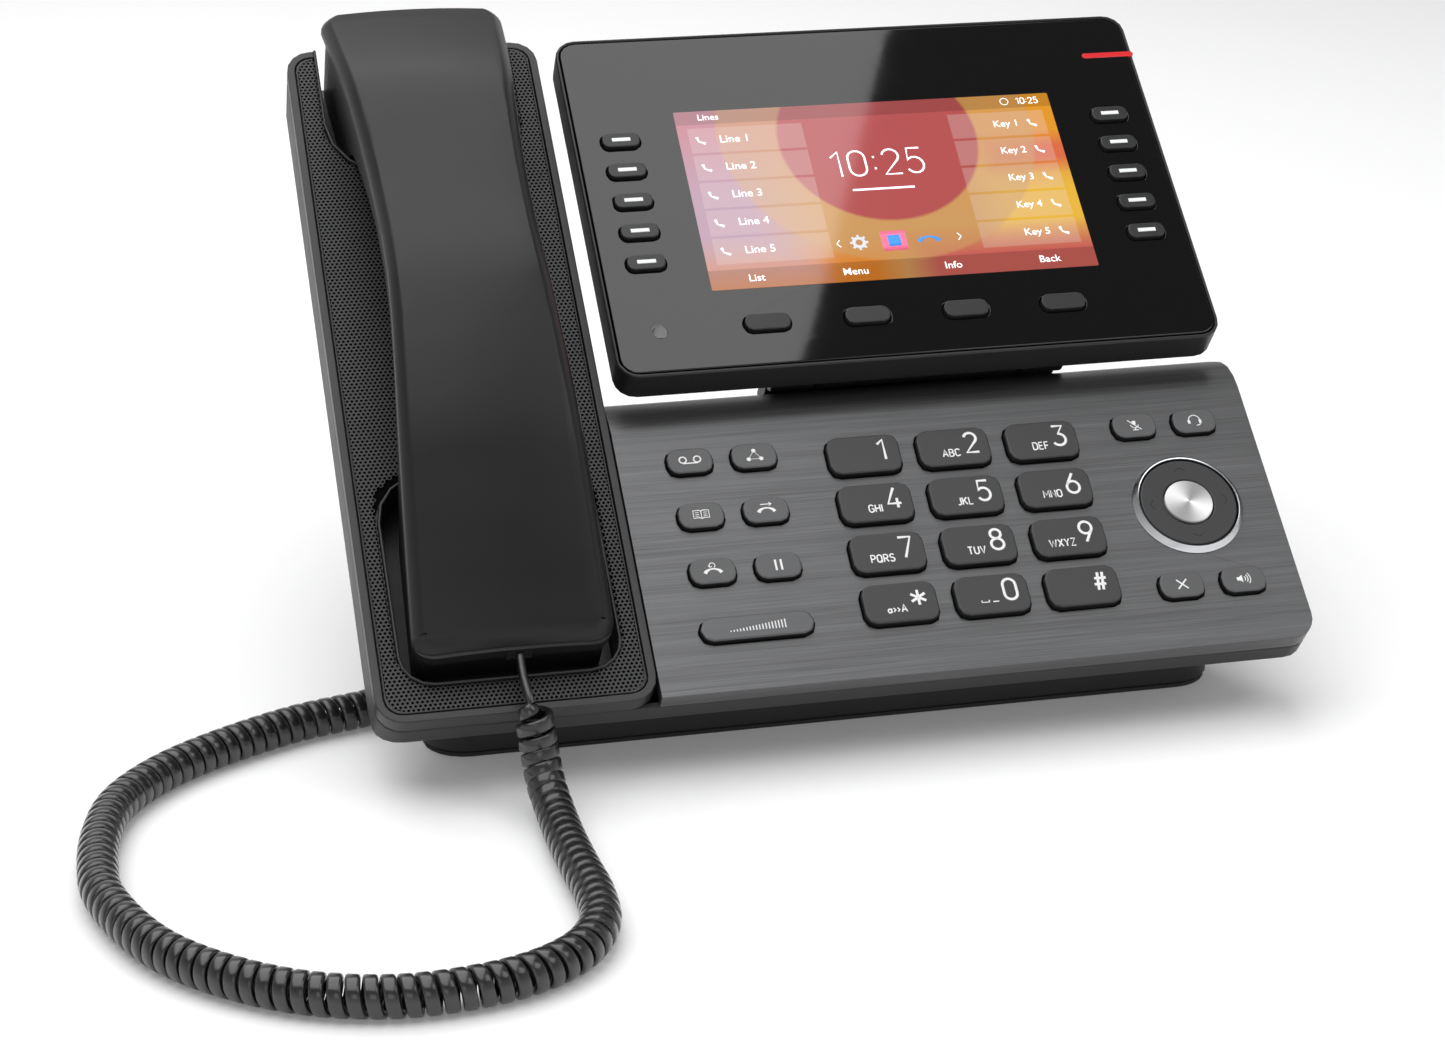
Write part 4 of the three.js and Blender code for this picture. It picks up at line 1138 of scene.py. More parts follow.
    def build_base_lead(self, start: Place) -> None:
        """Make the lead from the end of the coil up to its jack.

        Args:
            start: the coil's last point, in level millimetres.
        """
        rest = [p for p in self.route if p[2] > self.coil_end_height and p[1] > 0]
        jack = [tuple(LEVEL.inverted() @ (SLAB @ Vector(p))) for p in self.base_jack]
        line = catmull_rom([start, *rest, *self.base_lead, *jack], 8)
        sideways = np.tile(np.array([1.0, 0.0, 0.0]), (len(line), 1))
        lead = settle(self.band("base_lead", line, sideways), "base", "cord", "cord_base_lead",
                      matrix=LEVEL)
        places = [tuple(LEVEL @ Vector(p)) for p in line]
        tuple(places[0])
        float(lengths_along(line)[-1]) * MM


# ---------------------------------------------------------------- body


def skin(node: str, body: str, slot: str, finish: Finish, width: float = 0.4,
         segments: int = 2, matrix: Matrix = SLAB) -> bpy.types.Object:
    """Finished body over a frame node: its shape with rounded edges, dressed and set in place.

    Args:
        node: the frame node that it stands for.
        body: the moving body.
        slot: the record's material slot.
        finish: its surface.
        width: width of the edge rounding in millimetres.
        segments: faces across the rounding.
        matrix: the axes in which it is worked on.

    Returns:
        The new mesh object.
    """
    piece = soften(node_copy(node, matrix=matrix), width, segments)
    return settle(finish.dress(piece), body, slot, node, matrix=matrix)


def dress_node(node: str, finish: Finish) -> None:
    """Give a frame node that stays as it is its finish."""
    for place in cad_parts[node].material_slots:
        place.material = finish.material()


def within(points: np.ndarray, x0: float, x1: float, y0: float, y1: float,
           radius: float) -> np.ndarray:
    """Which points lie inside a rounded rectangle.

    Args:
        points: the points, one in each row.
        x0, x1, y0, y1: the rectangle's sides.
        radius: radius of its corners.

    Returns:
        One truth value for each point.
    """
    dx = np.maximum(np.maximum(x0 + radius - points[:, 0], points[:, 0] - x1 + radius), 0)
    dy = np.maximum(np.maximum(y0 + radius - points[:, 1], points[:, 1] - y1 + radius), 0)
    return np.hypot(dx, dy) <= radius


@dataclass
class Body:
    """Housing, cradle deck with its pierced grille, and the parts under them.

    A well is half its width, where it starts and where it ends up the slope.
    """

    width: float = 71.4
    length: float = 217.0
    border: float = 2.2
    corner: float = 5.0
    well_centre: float = 35.6
    mouth: Place = (27.8, 10.3, 72.0)
    ear: Place = (26.8, 172.0, 235.0)
    mouth_corners: Point = (9.0, 15.0)
    ear_corner: float = 19.0
    well_edge: float = 1.25
    edge_margin: float = 0.75
    pitch: float = 1.24
    row: float = 1.0739
    hole: float = 0.42
    hole_depth: float = 0.55
    top: float = -0.10
    cloth_top: float = -0.72
    cloth_thickness: float = 0.3

    def well(self, which: Place, grow: float) -> tuple[float, float, float, float]:
        """Sides of a well's opening, grown by a margin."""
        half, start, end = which
        reach_out = half + grow
        return self.well_centre - reach_out, self.well_centre + reach_out, start - grow, end + grow

    def field(self, name: str, margin: float, low: float, high: float,
              wells: bool) -> bpy.types.Object:
        """Body over the pierced field.

        Args:
            name: name of the body.
            margin: how far it stands inside the deck's border.
            low, high: its lower and upper heights.
            wells: whether the two wells are cut out of it.

        Returns:
            The new mesh object.
        """
        inset = self.border + margin
        outline = rounded(inset, self.width - inset, inset, self.length - inset, self.corner)
        body = prism(name, outline, low, high)
        if wells:
            ear_corners = (self.ear_corner, self.ear_corner)
            for which, corners in ((self.mouth, self.mouth_corners), (self.ear, ear_corners)):
                outline = rounded(*self.well(which, self.well_edge), *corners)
                cut(body, prism("well", outline, low - 1, high + 1))
        return body

    def cell(self) -> bpy.types.Object:
        """One six-sided cell of the grille with its hole.

        Returns:
            The new mesh object, of three rings of six points.
        """
        outer = self.pitch / math.sqrt(3)
        bpy.ops.object.select_all(action="DESELECT")
        bpy.ops.mesh.primitive_circle_add(vertices=6, radius=outer, fill_type="NGON")
        piece = named("speaker_grille_field")
        with editing(piece) as work:
            for face in work.faces:
                face.select_set(True)
            bpy.ops.mesh.inset(thickness=(outer - self.hole) * math.cos(math.pi / 6))
            down = (0, 0, -self.hole_depth)
            bpy.ops.mesh.extrude_region_move(TRANSFORM_OT_translate={"value": down})
            bpy.ops.mesh.delete(type="FACE")
        return piece

    def pierced_field(self) -> bpy.types.Object:
        """All cells of the grille, cut back to its outline and wells.

        Returns:
            The pierced field as one mesh object.
        """
        cell_points, outline_corner, mouth_corner = 18, 4.5, 11.0
        piece = self.cell()
        columns, rows = int(self.width / self.pitch) + 2, int(self.length / self.row / 2) + 2
        for count, offset in ((2, (self.pitch / 2, self.row, 0)), (columns, (self.pitch, 0, 0)),
                              (rows, (0, 2 * self.row, 0))):
            apply_modifier(piece, "ARRAY", count=count, use_relative_offset=False,
                           use_constant_offset=True, constant_offset_displace=offset)
        mesh = piece.data
        points = np.empty(len(mesh.vertices) * 3)
        mesh.vertices.foreach_get("co", points)
        centres = points.reshape(-1, cell_points, 3).mean(axis=1)
        inset = self.border + self.edge_margin
        keep = within(centres, inset, self.width - inset, inset, self.length - inset,
                      outline_corner)
        keep &= ~within(centres, *self.well(self.mouth, self.well_edge), mouth_corner)
        keep &= ~within(centres, *self.well(self.ear, self.well_edge), self.ear_corner)
        with editing(piece) as work:
            work.verts.ensure_lookup_table()
            for index in np.flatnonzero(np.repeat(~keep, cell_points)):
                work.verts[index].select_set(True)
            work.select_flush(True)
            bpy.ops.mesh.delete(type="VERT")
            bpy.ops.mesh.select_all(action="SELECT")
            bpy.ops.mesh.remove_doubles(threshold=0.01)
        piece.data.transform(Matrix.Translation((0, 0, self.top)))
        # The hole walls get the near-black backing finish: painted shade inside the holes.
        BACKING_AND_HOLE_SHADE.dress_faces(GRILLE.dress(piece), lambda face: face.normal.z < 0.5)
        return piece

    def grille(self) -> None:
        """Pierced field, its plain border and the dark cloth behind it."""
        settle(self.pierced_field(), "base", "grille")
        border_margin, cloth_margin = 0.8, 0.4
        border = cut(node_copy("speaker_grille"), self.field("field", border_margin, -5, 5, False))
        settle(GRILLE.dress(soften(border, 0.18, 2)), "base", "grille", "speaker_grille")
        cloth = self.field("grille_cloth", cloth_margin, self.cloth_top - self.cloth_thickness,
                           self.cloth_top, True)
        settle(BACKING_AND_HOLE_SHADE.dress(soften(cloth, 0.05, 1)), "base", "grille")

    def build(self) -> None:
        """Make the body and everything fixed in it."""
        housing = soften(node_copy("base_housing"), 0.6, 3)
        settle(HOUSING.dress(housing), "base", "housing", "base_housing")
        skin("cradle_frame", "base", "cradle", CRADLE, 0.3)
        self.grille()
        for node, finish in (("speaker_driver", DRIVER), ("main_board", BOARD), ("hinge_pin", PIN),
                             ("handset_plug", PLUG), ("base_plug", PLUG)):
            dress_node(node, finish)
        skin("hook_switch", "hook_switch", "hook", HOOK, 0.5, 3)
        skin("neck_bracket", "base", "neck", NECK, 0.5, 3)
        skin("stand", "base", "stand", STAND, 0.8, 3, LEVEL)
        skin("rubber_sole", "base", "sole", SOLE, 0.3, 2, LEVEL)


# ---------------------------------------------------------------- keys


Drawing = Callable[[Ink], Ink]


def voicemail(ink: Ink) -> Ink:
    """Two tape reels with the tape under them."""
    for x in (-1.95, 1.95):
        ink.ring(x, 0.15, 0.95, 0.42)
    return ink.line([(-2, -0.95), (2, -0.95)], 0.42)


def conference(ink: Ink) -> Ink:
    """Three points joined as a triangle."""
    corners = [(0, 1.4), (-1.7, -1.2), (1.7, -1.2)]
    for x, y in corners:
        ink.dot(x, y, 0.62)
    return ink.line(corners, 0.3, True)


def directory(ink: Ink) -> Ink:
    """Open book."""
    left = [(0, -1.2), (-0.6, -0.9), (-2.1, -1.0), (-2.1, 1.3), (-0.6, 1.4), (0, 1.1)]
    for side in (1, -1):
        ink.line([(side * x, y) for x, y in left], 0.3)
        for y in (0.7, 0.1, -0.4):
            ink.line([(side * 0.6, y), (side * 1.6, y)], 0.2)
    return ink.line([(0, -1.2), (0, 1.1)], 0.25)


def small_handset(ink: Ink) -> Ink:
    """Handset drawn as one bowed stroke, wide at both ends."""
    points = [(-2.2, -0.8), (-1.7, -0.1), (-0.8, 0.35), (0, 0.45), (0.8, 0.35), (1.7, -0.1),
              (2.2, -0.8)]
    return ink.line(points, [1.1, 0.9, 0.5, 0.45, 0.5, 0.9, 1.1])


def transfer(ink: Ink) -> Ink:
    """Handset with an arrow over it."""
    small_handset(ink).line([(-1.4, 1.6), (1.5, 1.6)], 0.28)
    return ink.line([(0.9, 2.1), (1.6, 1.6), (0.9, 1.1)], 0.28)


def redial(ink: Ink) -> Ink:
    """Handset with a turning arrow."""
    small_handset(ink).ring(0, 1.5, 0.75, 0.26, -60, 215)
    return ink.line([(-1.1, 1.5), (-0.6, 0.9), (-0.1, 1.3)], 0.24)


def hold(ink: Ink) -> Ink:
    """Two upright bars."""
    return ink.line([(-0.75, -1.6), (-0.75, 1.6)], 0.62).line([(0.75, -1.6), (0.75, 1.6)], 0.62)


def mute(ink: Ink) -> Ink:
    """Struck-out microphone."""
    ink.line([(0, 1.3), (0, 0.1)], 1.1).ring(0, 0.2, 1.15, 0.26, 190, 350)
    ink.line([(0, -0.9), (0, -1.6)], 0.28).line([(-0.8, -1.65), (0.8, -1.65)], 0.28)
    return ink.line([(-1.7, 1.6), (1.7, -1.6)], 0.3)


def headset(ink: Ink) -> Ink:
    """Head band with two ear pieces and a microphone arm."""
    ink.ring(0, 0, 1.6, 0.3, 0, 180)
    for x in (-1.6, 1.6):
        ink.line([(x, 0.1), (x, -1.0)], 0.8)
    return ink.line([(1.6, -1.0), (1.2, -1.6), (0.3, -1.7)], 0.28)


def cancel(ink: Ink) -> Ink:
    """Cross."""
    return ink.line([(-1.4, -1.4), (1.4, 1.4)], 0.45).line([(-1.4, 1.4), (1.4, -1.4)], 0.45)


def loudspeaker(ink: Ink) -> Ink:
    """Loudspeaker with sound arcs."""
    ink.line([(-2.0, 0), (-1.3, 0), (-0.4, 0)], [1.1, 1.1, 2.4])
    for radius in (0.9, 1.6, 2.3):
        ink.ring(-0.5, 0, radius, 0.28, -42, 42)
    return ink


def volume(ink: Ink) -> Ink:
    """Row of bars that grow to the right."""
    count, length, foot, shortest, growth = 18, 14.5, -1.25, 0.4, 2.1
    for i in range(count):
        share = i / (count - 1)
        x = (share - 0.5) * length
        ink.line([(x, foot), (x, foot + shortest + growth * share)], 0.34)
    return ink


@dataclass
class KeySet:
    """Digit keys, function keys, volume rocker and navigation cluster.

    The trim's profile is a radius and a height at each point.
    """

    edge: float = 0.55
    lift: float = 0.005
    numeral_size: float = 6.2
    sign_size: float = 5.332
    letter_size: float = 2.2
    tick_radius: float = 10.9
    trim: tuple[Point, ...] = (
        (13.62, -1.2), (13.62, 1.35), (13.85, 1.68), (14.1, 1.72), (15.2, 0.62), (15.45, 0.3),
        (15.45, 0.01), (13.72, 0.01), (13.72, -1.2))
    digits: dict[str, tuple[str, str]] = field(default_factory=lambda: {
        "key_1": ("1", ""), "key_2": ("2", "ABC"), "key_3": ("3", "DEF"), "key_4": ("4", "GHI"),
        "key_5": ("5", "JKL"), "key_6": ("6", "MNO"), "key_7": ("7", "PQRS"), "key_8": ("8", "TUV"),
        "key_9": ("9", "WXYZ"), "key_star": ("*", "a>>A"), "key_0": ("0", ""),
        "key_hash": ("#", "")})
    functions: dict[str, Drawing] = field(default_factory=lambda: {
        "key_voicemail": voicemail, "key_conference": conference, "key_directory": directory,
        "key_transfer": transfer, "key_redial": redial, "key_hold": hold, "key_mute": mute,
        "key_headset": headset, "key_cancel": cancel, "key_speaker": loudspeaker})

    def cap(self, node: str, top: Finish) -> bpy.types.Object:
        """Key cap with rounded edges and near-black sides, partly their own black and partly
        painted shade.

        Args:
            node: the frame node that it stands for.
            top: finish of its top.

        Returns:
            The new mesh object.
        """
        piece = top.dress(soften(node_copy(node), self.edge, 4))
        # Faces turned sideways get the near-black side finish: partly the sides' own black, partly
        # painted shade of the gap round the key.
        KEY_SIDE.dress_faces(piece, lambda face: face.normal.z < 0.55)
        return piece

    def key(self, node: str, slot: str, top: Finish, draw: Drawing) -> None:
        """Make one key with its mark and set it in place.

        Args:
            node: the frame node that it stands for, and its moving body.
            slot: the record's material slot.
            top: finish of its top.
            draw: what is printed on it.
        """
        low, high = reach(node)
        middle = (low + high) / 2
        ink = draw(Ink(f"{node}_mark", middle.x, middle.y, high.z + self.lift))
        settle(joined(f"{node}_cap", self.cap(node, top), ink.make()), node, slot, node)

    def digit(self, numeral: str, letters: str) -> Drawing:
        """How a digit key is printed.

        Args:
            numeral: its numeral or sign.
            letters: its letters, or nothing.

        Returns:
            The function that draws them.
        """
        def draw(ink: Ink) -> Ink:
            """Numeral at the right, letters at the left below."""
            size = self.sign_size if numeral in "*#" else self.numeral_size
            ink.word(numeral, size, 4.9, 0.9, 0.8)
            ink.word(letters, self.letter_size, 1.2, -1.9, 0.42, Align.RIGHT)
            if numeral == "0":
                ink.line([(-3.4, -1.8), (-3.4, -2.4), (-1.4, -2.4), (-1.4, -1.8)], 0.36)
                ink.line([(-0.4, -2.4), (1.2, -2.4)], 0.36)
            return ink
        return draw

    def navigation(self) -> None:
        """Ring, its bright trim and the middle button."""
        low, high = reach("nav_ring")
        x, y = (low.x + high.x) / 2, (low.y + high.y) / 2
        settle(CHROME.dress(lathe("nav_trim", self.trim, x, y, 128)), "base", "nav_ring")
        ring = NAV_DARK.dress(soften(node_copy("nav_ring"), 0.5, 4, clamp=True))
        # The four engraved ticks are drawn as thin raised marks in the near-black finish: painted
        # shade of the engraved grooves.
        marks = Ink("ticks", x, y, high.z + self.lift)
        for i in range(4):
            angle = math.pi / 2 * i
            across = Vector((math.cos(angle), math.sin(angle)))
            side = Vector((-across.y, across.x)) * 1.5
            foot, tip = across * (self.tick_radius - 1), across * self.tick_radius
            marks.line([tuple(foot - side), tuple(tip), tuple(foot + side)], 0.32)
        cap = joined("nav_ring_cap", ring, marks.make(KEY_SIDE))
        settle(cap, "nav_ring", "nav_ring", "nav_ring")
        button = soften(node_copy("nav_ok_button"), 0.4, 4, clamp=True)
        button.data.materials.append(self.turned_metal(x, y))
        settle(button, "nav_ok_button", "ok_button", "nav_ok_button")

    def turned_metal(self, x: float, y: float) -> bpy.types.Material:
        """Metal turned on a lathe, with the light fans round its middle painted into its colour.

        Args:
            x, y: the middle, in the slab's millimetres.

        Returns:
            The new material.
        """
        material = CHROME.build()
        material.name = "turned_button_metal"
        tree = material.node_tree
        shader = tree.nodes["Principled BSDF"]
        shader.inputs["Anisotropic"].default_value = 0.5
        place = add_node(tree, "ShaderNodeTexCoord", {})
        centred = add_node(tree, "ShaderNodeMapping", {"Vector": place.outputs["Object"],
                           "Location": tuple(SLAB @ Vector((x, y, 0))), "Rotation": (TILT, 0, 0)},
                           vector_type="TEXTURE")
        parts = add_node(tree, "ShaderNodeSeparateXYZ", {"Vector": centred.outputs["Vector"]})
        across, up = parts.outputs["X"], parts.outputs["Y"]
        # The base colour is brightened and darkened in fans round the middle: painted highlight and
        # painted shade for the light fans of turned metal, over the real groove grain.
        angle = arithmetic(tree, "ADD", arithmetic(tree, "ARCTAN2", up, across), 0.6)
        fans = arithmetic(tree, "COSINE", arithmetic(tree, "MULTIPLY", angle, 2.0))
        ring = add_node(tree, "ShaderNodeCombineXYZ", {"X": distance_from(tree, across, up)})
        grooves = add_node(tree, "ShaderNodeTexNoise", {"Vector": ring.outputs[0],
                           "Scale": 9000.0, "Detail": 2.0})
        grooves_and_painted_highlight = multiply_add(tree, fans, 0.24,
                            arithmetic(tree, "MULTIPLY", grooves.outputs["Fac"], 0.25))
        value = arithmetic(tree, "ADD", grooves_and_painted_highlight, 0.62)
        tint = add_node(tree, "ShaderNodeCombineColor", {"Red": value, "Green": value,
                        "Blue": value})
        tree.links.new(tint.outputs[0], shader.inputs["Base Color"])
        rough = arithmetic(tree, "MULTIPLY_ADD", grooves.outputs["Fac"], 0.2)
        tree.links.new(arithmetic(tree, "ADD", rough, 0.25), shader.inputs["Roughness"])
        return material

    def build(self) -> None:
        """Make every key on the panel."""
        for node, (numeral, letters) in self.digits.items():
            self.key(node, "digit_key", DIGIT_TOP, self.digit(numeral, letters))
        for node, draw in self.functions.items():
            self.key(node, "function_key", FUNCTION_TOP, draw)
        self.key("volume_rocker", "function_key", VOLUME_TOP, volume)
        self.navigation()


# ---------------------------------------------------------------- panel, display, handset


@dataclass
class KeypadPanel:
    """Brushed panel that the keys stand in."""

    edge: float = 0.22

    def build(self) -> None:
        """Make the panel."""
        piece = soften(node_copy("keypad_panel"), self.edge, 2)
        settle(PANEL.dress(piece), "base", "panel", "keypad_panel")


def srgb(red: int, green: int, blue: int) -> tuple[float, float, float, float]:
    """Linear colour of three screen values, with a full alpha.

    Args:
        red, green, blue: the values, from 0 to 255.

    Returns:
        The colour's four numbers.
    """
    def linear(value: int) -> float:
        """Linear light of one screen value."""
        part = value / 255
        return part / 12.92 if part <= 0.04045 else ((part + 0.055) / 1.055) ** 2.4
    return linear(red), linear(green), linear(blue), 1.0


def soft_disc() -> bpy.types.NodeTree:
    """Group: mask of a round patch with a soft edge."""
    tree = group_tree("soft_disc", {"X": 0.0, "Y": 0.0, "Centre X": 0.0, "Centre Y": 0.0,
                                    "Radius": 10.0, "Softness": 1.0}, {"Mask": "NodeSocketFloat"})
    given, out = tree.nodes["in"].outputs, tree.nodes["out"]
    dx = arithmetic(tree, "SUBTRACT", given["X"], given["Centre X"])
    dy = arithmetic(tree, "SUBTRACT", given["Y"], given["Centre Y"])
    inside = arithmetic(tree, "SUBTRACT", given["Radius"], distance_from(tree, dx, dy))
    edge = arithmetic(tree, "DIVIDE", inside, given["Softness"])
    tree.links.new(arithmetic(tree, "ADD", edge, 0.5, clamp=True), out.inputs["Mask"])
    return tree


def soft_panel() -> bpy.types.NodeTree:
    """Group: mask of a rectangular patch with a soft edge."""
    tree = group_tree("soft_panel", {"X": 0.0, "Y": 0.0, "Left": 0.0, "Right": 10.0, "Bottom": 0.0,
                                     "Top": 10.0, "Softness": 0.3}, {"Mask": "NodeSocketFloat"})
    given, out = tree.nodes["in"].outputs, tree.nodes["out"]
    gaps = [arithmetic(tree, "SUBTRACT", given["X"], given["Left"]),
            arithmetic(tree, "SUBTRACT", given["Right"], given["X"]),
            arithmetic(tree, "SUBTRACT", given["Y"], given["Bottom"]),
            arithmetic(tree, "SUBTRACT", given["Top"], given["Y"])]
    least = arithmetic(tree, "MINIMUM", arithmetic(tree, "MINIMUM", gaps[0], gaps[1]),
                       arithmetic(tree, "MINIMUM", gaps[2], gaps[3]))
    edge = arithmetic(tree, "DIVIDE", least, given["Softness"])
    tree.links.new(arithmetic(tree, "ADD", edge, 0.5, clamp=True), out.inputs["Mask"])
    return tree


@dataclass
class Display:
    """Tilting display: case, glass, lit picture, keys beside it and the alert lamp.

    Places on the picture are measured from its lower left corner.
    """

    left: float = 104.35
    bottom: float = 116.3
    wide: float = 110.5
    high: float = 62.2
    front: float = 11.4
    right_side: float = 244.4
    key_edge: float = 0.35
    rows: int = 5
    row_pitch: float = 9.7
    row_low: float = 8.5
    row_height: float = 8.8
    lower_band: float = 6.6
    upper_band: float = 57.4
    label_pitch: float = 27.94
    print_height: float = 0.09
    icon_row: float = 13.0
    vents: int = 9
    vent_pitch: float = 4.4
    vent_width: float = 1.8
    back: float = 1.4

    def picture_material(self) -> bpy.types.Material:
        """Lit picture of soft overlapping rounds and panels.

        Returns:
            The new material.
        """
        material = bpy.data.materials.new("screen_picture")
        material.use_nodes = True
        tree = material.node_tree
        shader = tree.nodes["Principled BSDF"]
        place = add_node(tree, "ShaderNodeTexCoord", {})
        corner = SLAB @ Vector((self.left, self.bottom, 0))
        flat = add_node(tree, "ShaderNodeMapping", {"Vector": place.outputs["Object"],
                        "Location": tuple(corner), "Rotation": (TILT, 0, 0),
                        "Scale": (MM, MM, MM)}, vector_type="TEXTURE")
        parts = add_node(tree, "ShaderNodeSeparateXYZ", {"Vector": flat.outputs["Vector"]})
        grid = {"X": parts.outputs["X"], "Y": parts.outputs["Y"]}

        def patch(make: Callable[[], bpy.types.NodeTree],
                  values: dict[str, float]) -> bpy.types.NodeSocket:
            """Mask of a patch, from its group's values."""
            node = add_node(tree, "ShaderNodeGroup", {}, node_tree=group(make))
            for label, value in values.items():
                node.inputs[label].default_value = value
            for label, socket in grid.items():
                tree.links.new(socket, node.inputs[label])
            return node.outputs["Mask"]

        def disc(x: float, y: float, radius: float, softness: float) -> bpy.types.NodeSocket:
            """Mask of a round patch."""
            return patch(soft_disc, {"Centre X": x, "Centre Y": y, "Radius": radius,
                                     "Softness": softness})

        def panel(left: float, right: float, bottom: float, top: float,
                  softness: float) -> bpy.types.NodeSocket:
            """Mask of a rectangular patch."""
            return patch(soft_panel, {"Left": left, "Right": right, "Bottom": bottom, "Top": top,
                                      "Softness": softness})

        def over(below: object, above: object, mask: bpy.types.NodeSocket,
                 share: float = 1.0) -> bpy.types.NodeSocket:
            """Lay one colour over another by a mask."""
            part = arithmetic(tree, "MULTIPLY", mask, share)
            node = add_node(tree, "ShaderNodeMix", {0: part, 6: below, 7: above}, data_type="RGBA")
            return node.outputs[2]

        colour = over(srgb(214, 158, 92), srgb(236, 158, 44), panel(78, 140, 34, 90, 26))
        colour = over(colour, srgb(242, 190, 66), panel(84, 140, 12, 34, 12))
        colour = over(colour, srgb(228, 112, 72), panel(88, 140, 36, 46, 6))
        colour = over(colour, srgb(206, 100, 90), panel(60, 140, -40, 12, 10))
        colour = over(colour, srgb(226, 132, 36), panel(-40, 52, -40, 10, 10))
        colour = over(colour, srgb(188, 152, 180), panel(-60, 26, 8, 90, 20), 0.9)
        colour = over(colour, srgb(205, 122, 132), panel(-40, 60, 44, 90, 24), 0.7)
        colour = over(colour, srgb(212, 162, 104), disc(57, 52, 46, 1.0), 0.55)
        colour = over(colour, srgb(186, 74, 86), disc(57, 49, 29, 1.0), 0.9)
        white, black = srgb(255, 240, 235), srgb(30, 20, 20)
        for row in range(self.rows):
            base = self.row_low + self.row_pitch * row
            for left, right in ((3.0, 36.0), (79.0, 107.5)):
                mask = panel(left, right, base, base + self.row_height, 0.3)
                colour = over(colour, white, mask, 0.16)
        colour = over(colour, black, panel(-5, 120, self.upper_band, 70, 0.2), 0.28)
        colour = over(colour, black, panel(-5, 120, -5, self.lower_band, 0.2), 0.32)
        noise = add_node(tree, "ShaderNodeTexNoise", {"Vector": flat.outputs["Vector"],
                         "Scale": 0.05, "Detail": 1.0})
        rough = multiply_add(tree, noise.outputs["Fac"], 0.03, 0.04)
        tree.links.new(rough, shader.inputs["Roughness"])
        dim = add_node(tree, "ShaderNodeMix", {0: 0.94, 6: colour, 7: (0.0, 0.0, 0.0, 1.0)},
                       data_type="RGBA")
        tree.links.new(dim.outputs[2], shader.inputs["Base Color"])
        tree.links.new(colour, shader.inputs["Emission Color"])
        shader.inputs["Emission Strength"].default_value = 0.88
        shader.inputs["Specular IOR Level"].default_value = 0.6
        return material

    def marks(self) -> bpy.types.Object:
        """Time, rows and small signs on the picture.

        Returns:
            The marks as one mesh object.
        """
        ink = Ink("screen_marks", self.left, self.bottom, self.front + self.print_height)
        heading = (self.upper_band + self.high) / 2
        ink.word("10:25", 8.8, 55, 40.5, 0.62).line([(46, 31.2), (64, 31.2)], 0.7)
        ink.word("10:25", 2.1, 107, heading, 0.32, Align.RIGHT).ring(97, heading, 1.2, 0.22)
        ink.text("Lines", 2.1, 6.5, heading, Align.LEFT)
        for row in range(self.rows):
            number = self.rows - row
            y = self.row_low + self.row_height / 2 + self.row_pitch * row
            ink.text(f"Line {number}", 2.5, 11.5, y, Align.LEFT)
            ink.text(f"Key {number}", 2.3, 99.5, y, Align.RIGHT)
            for x in (5.2, 102.5):
                ink.line([(x, y + 1.2), (x + 0.4, y - 0.4), (x + 2.2, y - 1.2)], [0.9, 0.4, 0.9])
        middle = self.icon_row
        for x, tip in ((38.6, 37.6), (72.4, 73.4)):
            ink.line([(x, middle + 1.2), (tip, middle), (x, middle - 1.2)], 0.3)
        for column, label in enumerate(("List", "Menu", "Info", "Back")):
            ink.text(label, 2.3, 13.1 + self.label_pitch * column, self.lower_band / 2)
        return ink.make(MARK)

    def icons(self) -> bpy.types.Object:
        """Three small pictures for opening the phone's functions.

        Returns:
            The pictures as one mesh object.
        """
        height, up, teeth = self.front + self.print_height, self.bottom + self.icon_row, 8
        gear = Ink("gear", self.left + 44, up, height).ring(0, 0, 1.5, 1.1)
        for tooth in range(teeth):
            angle = 2 * math.pi * tooth / teeth
            across, along = math.cos(angle), math.sin(angle)
            gear.line([(1.6 * across, 1.6 * along), (2.6 * across, 2.6 * along)], 0.8)
        book = Ink("book", self.left + 54, up, height).bar(-3.6, -3.4, 3.6, 3.4)
        page = Ink("page", self.left + 54, up, height + 0.02).bar(-1.7, -1.9, 1.9, 1.9)
        call = small_handset(Ink("call", self.left + 64, up, height, 1.3))
        return joined("screen_icons", gear.make(ICON_GREY), book.make(ICON_PINK),
                      page.make(ICON_BLUE), call.make(ICON_BLUE))

    def screen(self) -> None:
        """Lit picture with its marks."""
        right, top = self.left + self.wide, self.bottom + self.high
        outline = rounded(self.left, right, self.bottom, top, 0.4, steps=2)
        picture = prism("screen_picture", outline, self.front + 0.01, self.front + 0.06)
        picture.data.materials.append(self.picture_material())
        settle(smooth(picture), "display", "lcd")
        settle(self.marks(), "display", "lcd")
        settle(self.icons(), "display", "lcd")

    def case(self) -> None:
        """Case with vents in its back, and the black glass."""
        shell = soften(node_copy("display_shell"), 0.7, 3)
        for row in range(self.vents):
            y = 150 + self.vent_pitch * row
            outline = rounded(128, 194, y, y + self.vent_width, 0.8, steps=3)
            cut(shell, prism("vent", outline, self.back - 1, self.back + 0.9))
        settle(DISPLAY_CASE.dress(smooth(shell)), "display", "display_shell", "display_shell")
        skin("display_glass", "display", "glass", GLASS, 0.35, 3)
        dress_node("lcd_module", LCD)

    def key(self, node: str) -> None:
        """Small key, with a light window if it belongs to a line.

        Args:
            node: the frame node that it stands for, and its moving body.
        """
        low, high = reach(node)
        middle = (low + high) / 2
        parts = [DISPLAY_KEY.dress(soften(node_copy(node), self.key_edge, 3))]
        if node.startswith("line"):
            window = Ink("window", middle.x, middle.y, high.z + 0.005).bar(-2.6, -0.65, 2.6, 0.65)
            parts.append(window.make(WINDOW))
        settle(joined(f"{node}_cap", *parts), node, "display_key", node)

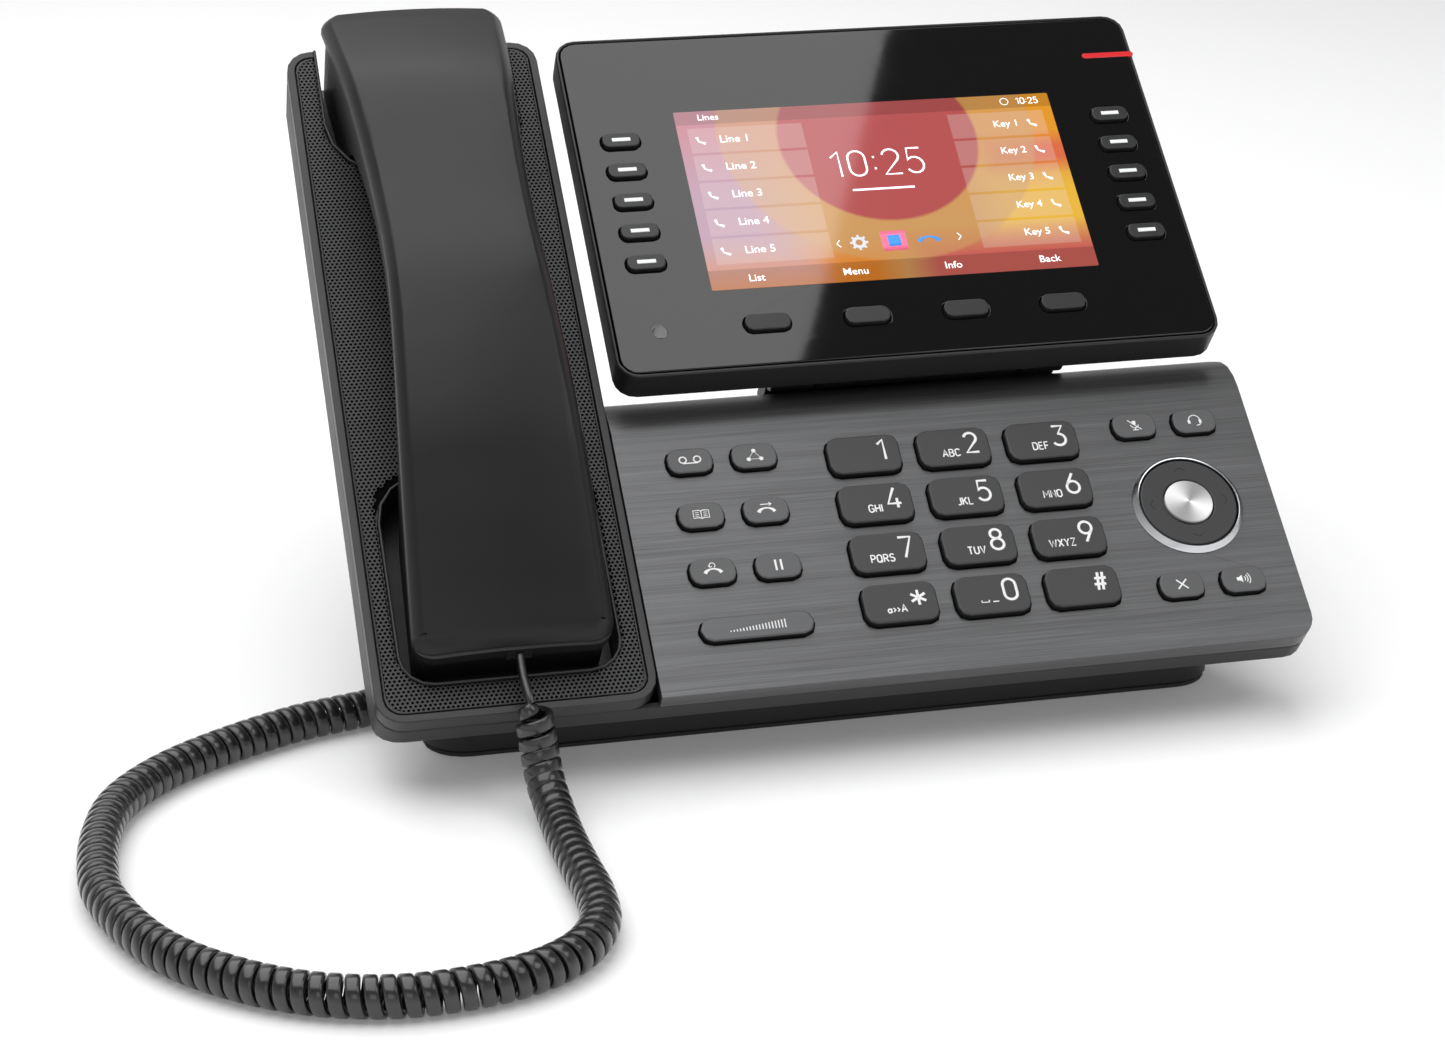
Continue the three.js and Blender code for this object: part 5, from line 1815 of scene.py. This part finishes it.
    def lamp(self) -> None:
        """Alert lamp at the right edge and the light sensor beside the keys."""
        outline = rounded(229, self.right_side + 0.25, 190.6, 192.4, 0.7, steps=3)
        lens = prism("alert_lamp", outline, self.front - 7.5, self.front + 0.14)
        settle(ALERT.dress(soften(lens, 0.12, 2)), "display", "glass")
        profile = [(0, -0.3), (2.2, -0.3), (2.2, 0.06), (2.05, 0.1), (1.9, 0.03), (0, 0.03)]
        ring = lathe("light_sensor", profile, 87.7, 104, 40)
        ring.data.transform(Matrix.Translation((0, 0, self.front)))
        settle(SENSOR.dress(ring), "display", "glass")

    def build(self) -> None:
        """Make the display."""
        self.case()
        self.screen()
        for side in ("left", "right"):
            for row in range(1, self.rows + 1):
                self.key(f"line_key_{side}_{row}")
        for column in range(1, 5):
            self.key(f"soft_key_{column}")
        self.lamp()


@dataclass
class Handset:
    """Handset: rounded outer shell and matt inner shell.

    The face's edge lies between a face that looks up, by `face_least` or more, and a wall, whose
    own slope is under `wall_most`. Each is the upward part of a normal.
    """

    face_round: float = 3.3
    face_steps: int = 6
    face_profile: float = 0.38
    face_least: float = 0.35
    wall_most: float = 0.3
    middle: float = 35.6
    half_width: float = 24.0
    sag: float = 1.5
    strips: int = 9

    def outer(self) -> None:
        """Outer shell with its long edges rounded off and its face crowned from side to side."""
        piece = node_copy("handset_outer_shell", "handset_outer_skin")
        with editing(piece) as work:
            for edge in work.edges:
                if len(edge.link_faces) == 2:
                    wall, face = sorted(side.normal.z for side in edge.link_faces)
                    if face > self.face_least and abs(wall) < self.wall_most:
                        edge.select_set(True)
            bpy.ops.mesh.bevel(offset=self.face_round, segments=self.face_steps,
                               profile=self.face_profile, clamp_overlap=False, affect="EDGES")
            for strip in range(1, self.strips):
                place = self.middle + self.half_width * (2 * strip / self.strips - 1)
                bpy.ops.mesh.select_all(action="SELECT")
                bpy.ops.mesh.bisect(plane_co=(place, 0, 0), plane_no=(1, 0, 0))
        for vertex in piece.data.vertices:
            vertex.co.z -= self.sag * ((vertex.co.x - self.middle) / self.half_width) ** 2
        smooth(piece, 38)
        settle(HANDSET.dress(piece), "handset", "handset", "handset_outer_shell")

    def build(self) -> None:
        """Make the handset."""
        self.outer()
        skin("handset_inner_shell", "handset", "handset_inner", HANDSET_INNER, 0.4, 2)


def main() -> None:
    """Build the phone's visual pieces in order."""
    logging.basicConfig(level=logging.INFO, format="%(name)s: %(message)s")
    cad_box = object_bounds()
    Studio().build()
    CurlyCord().build()
    Body().build()
    KeypadPanel().build()
    KeySet().build()
    Display().build()
    Handset().build()
    [[list(corner) for corner in box] for box in (cad_box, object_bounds())]


if __name__ == "__main__":
    main()
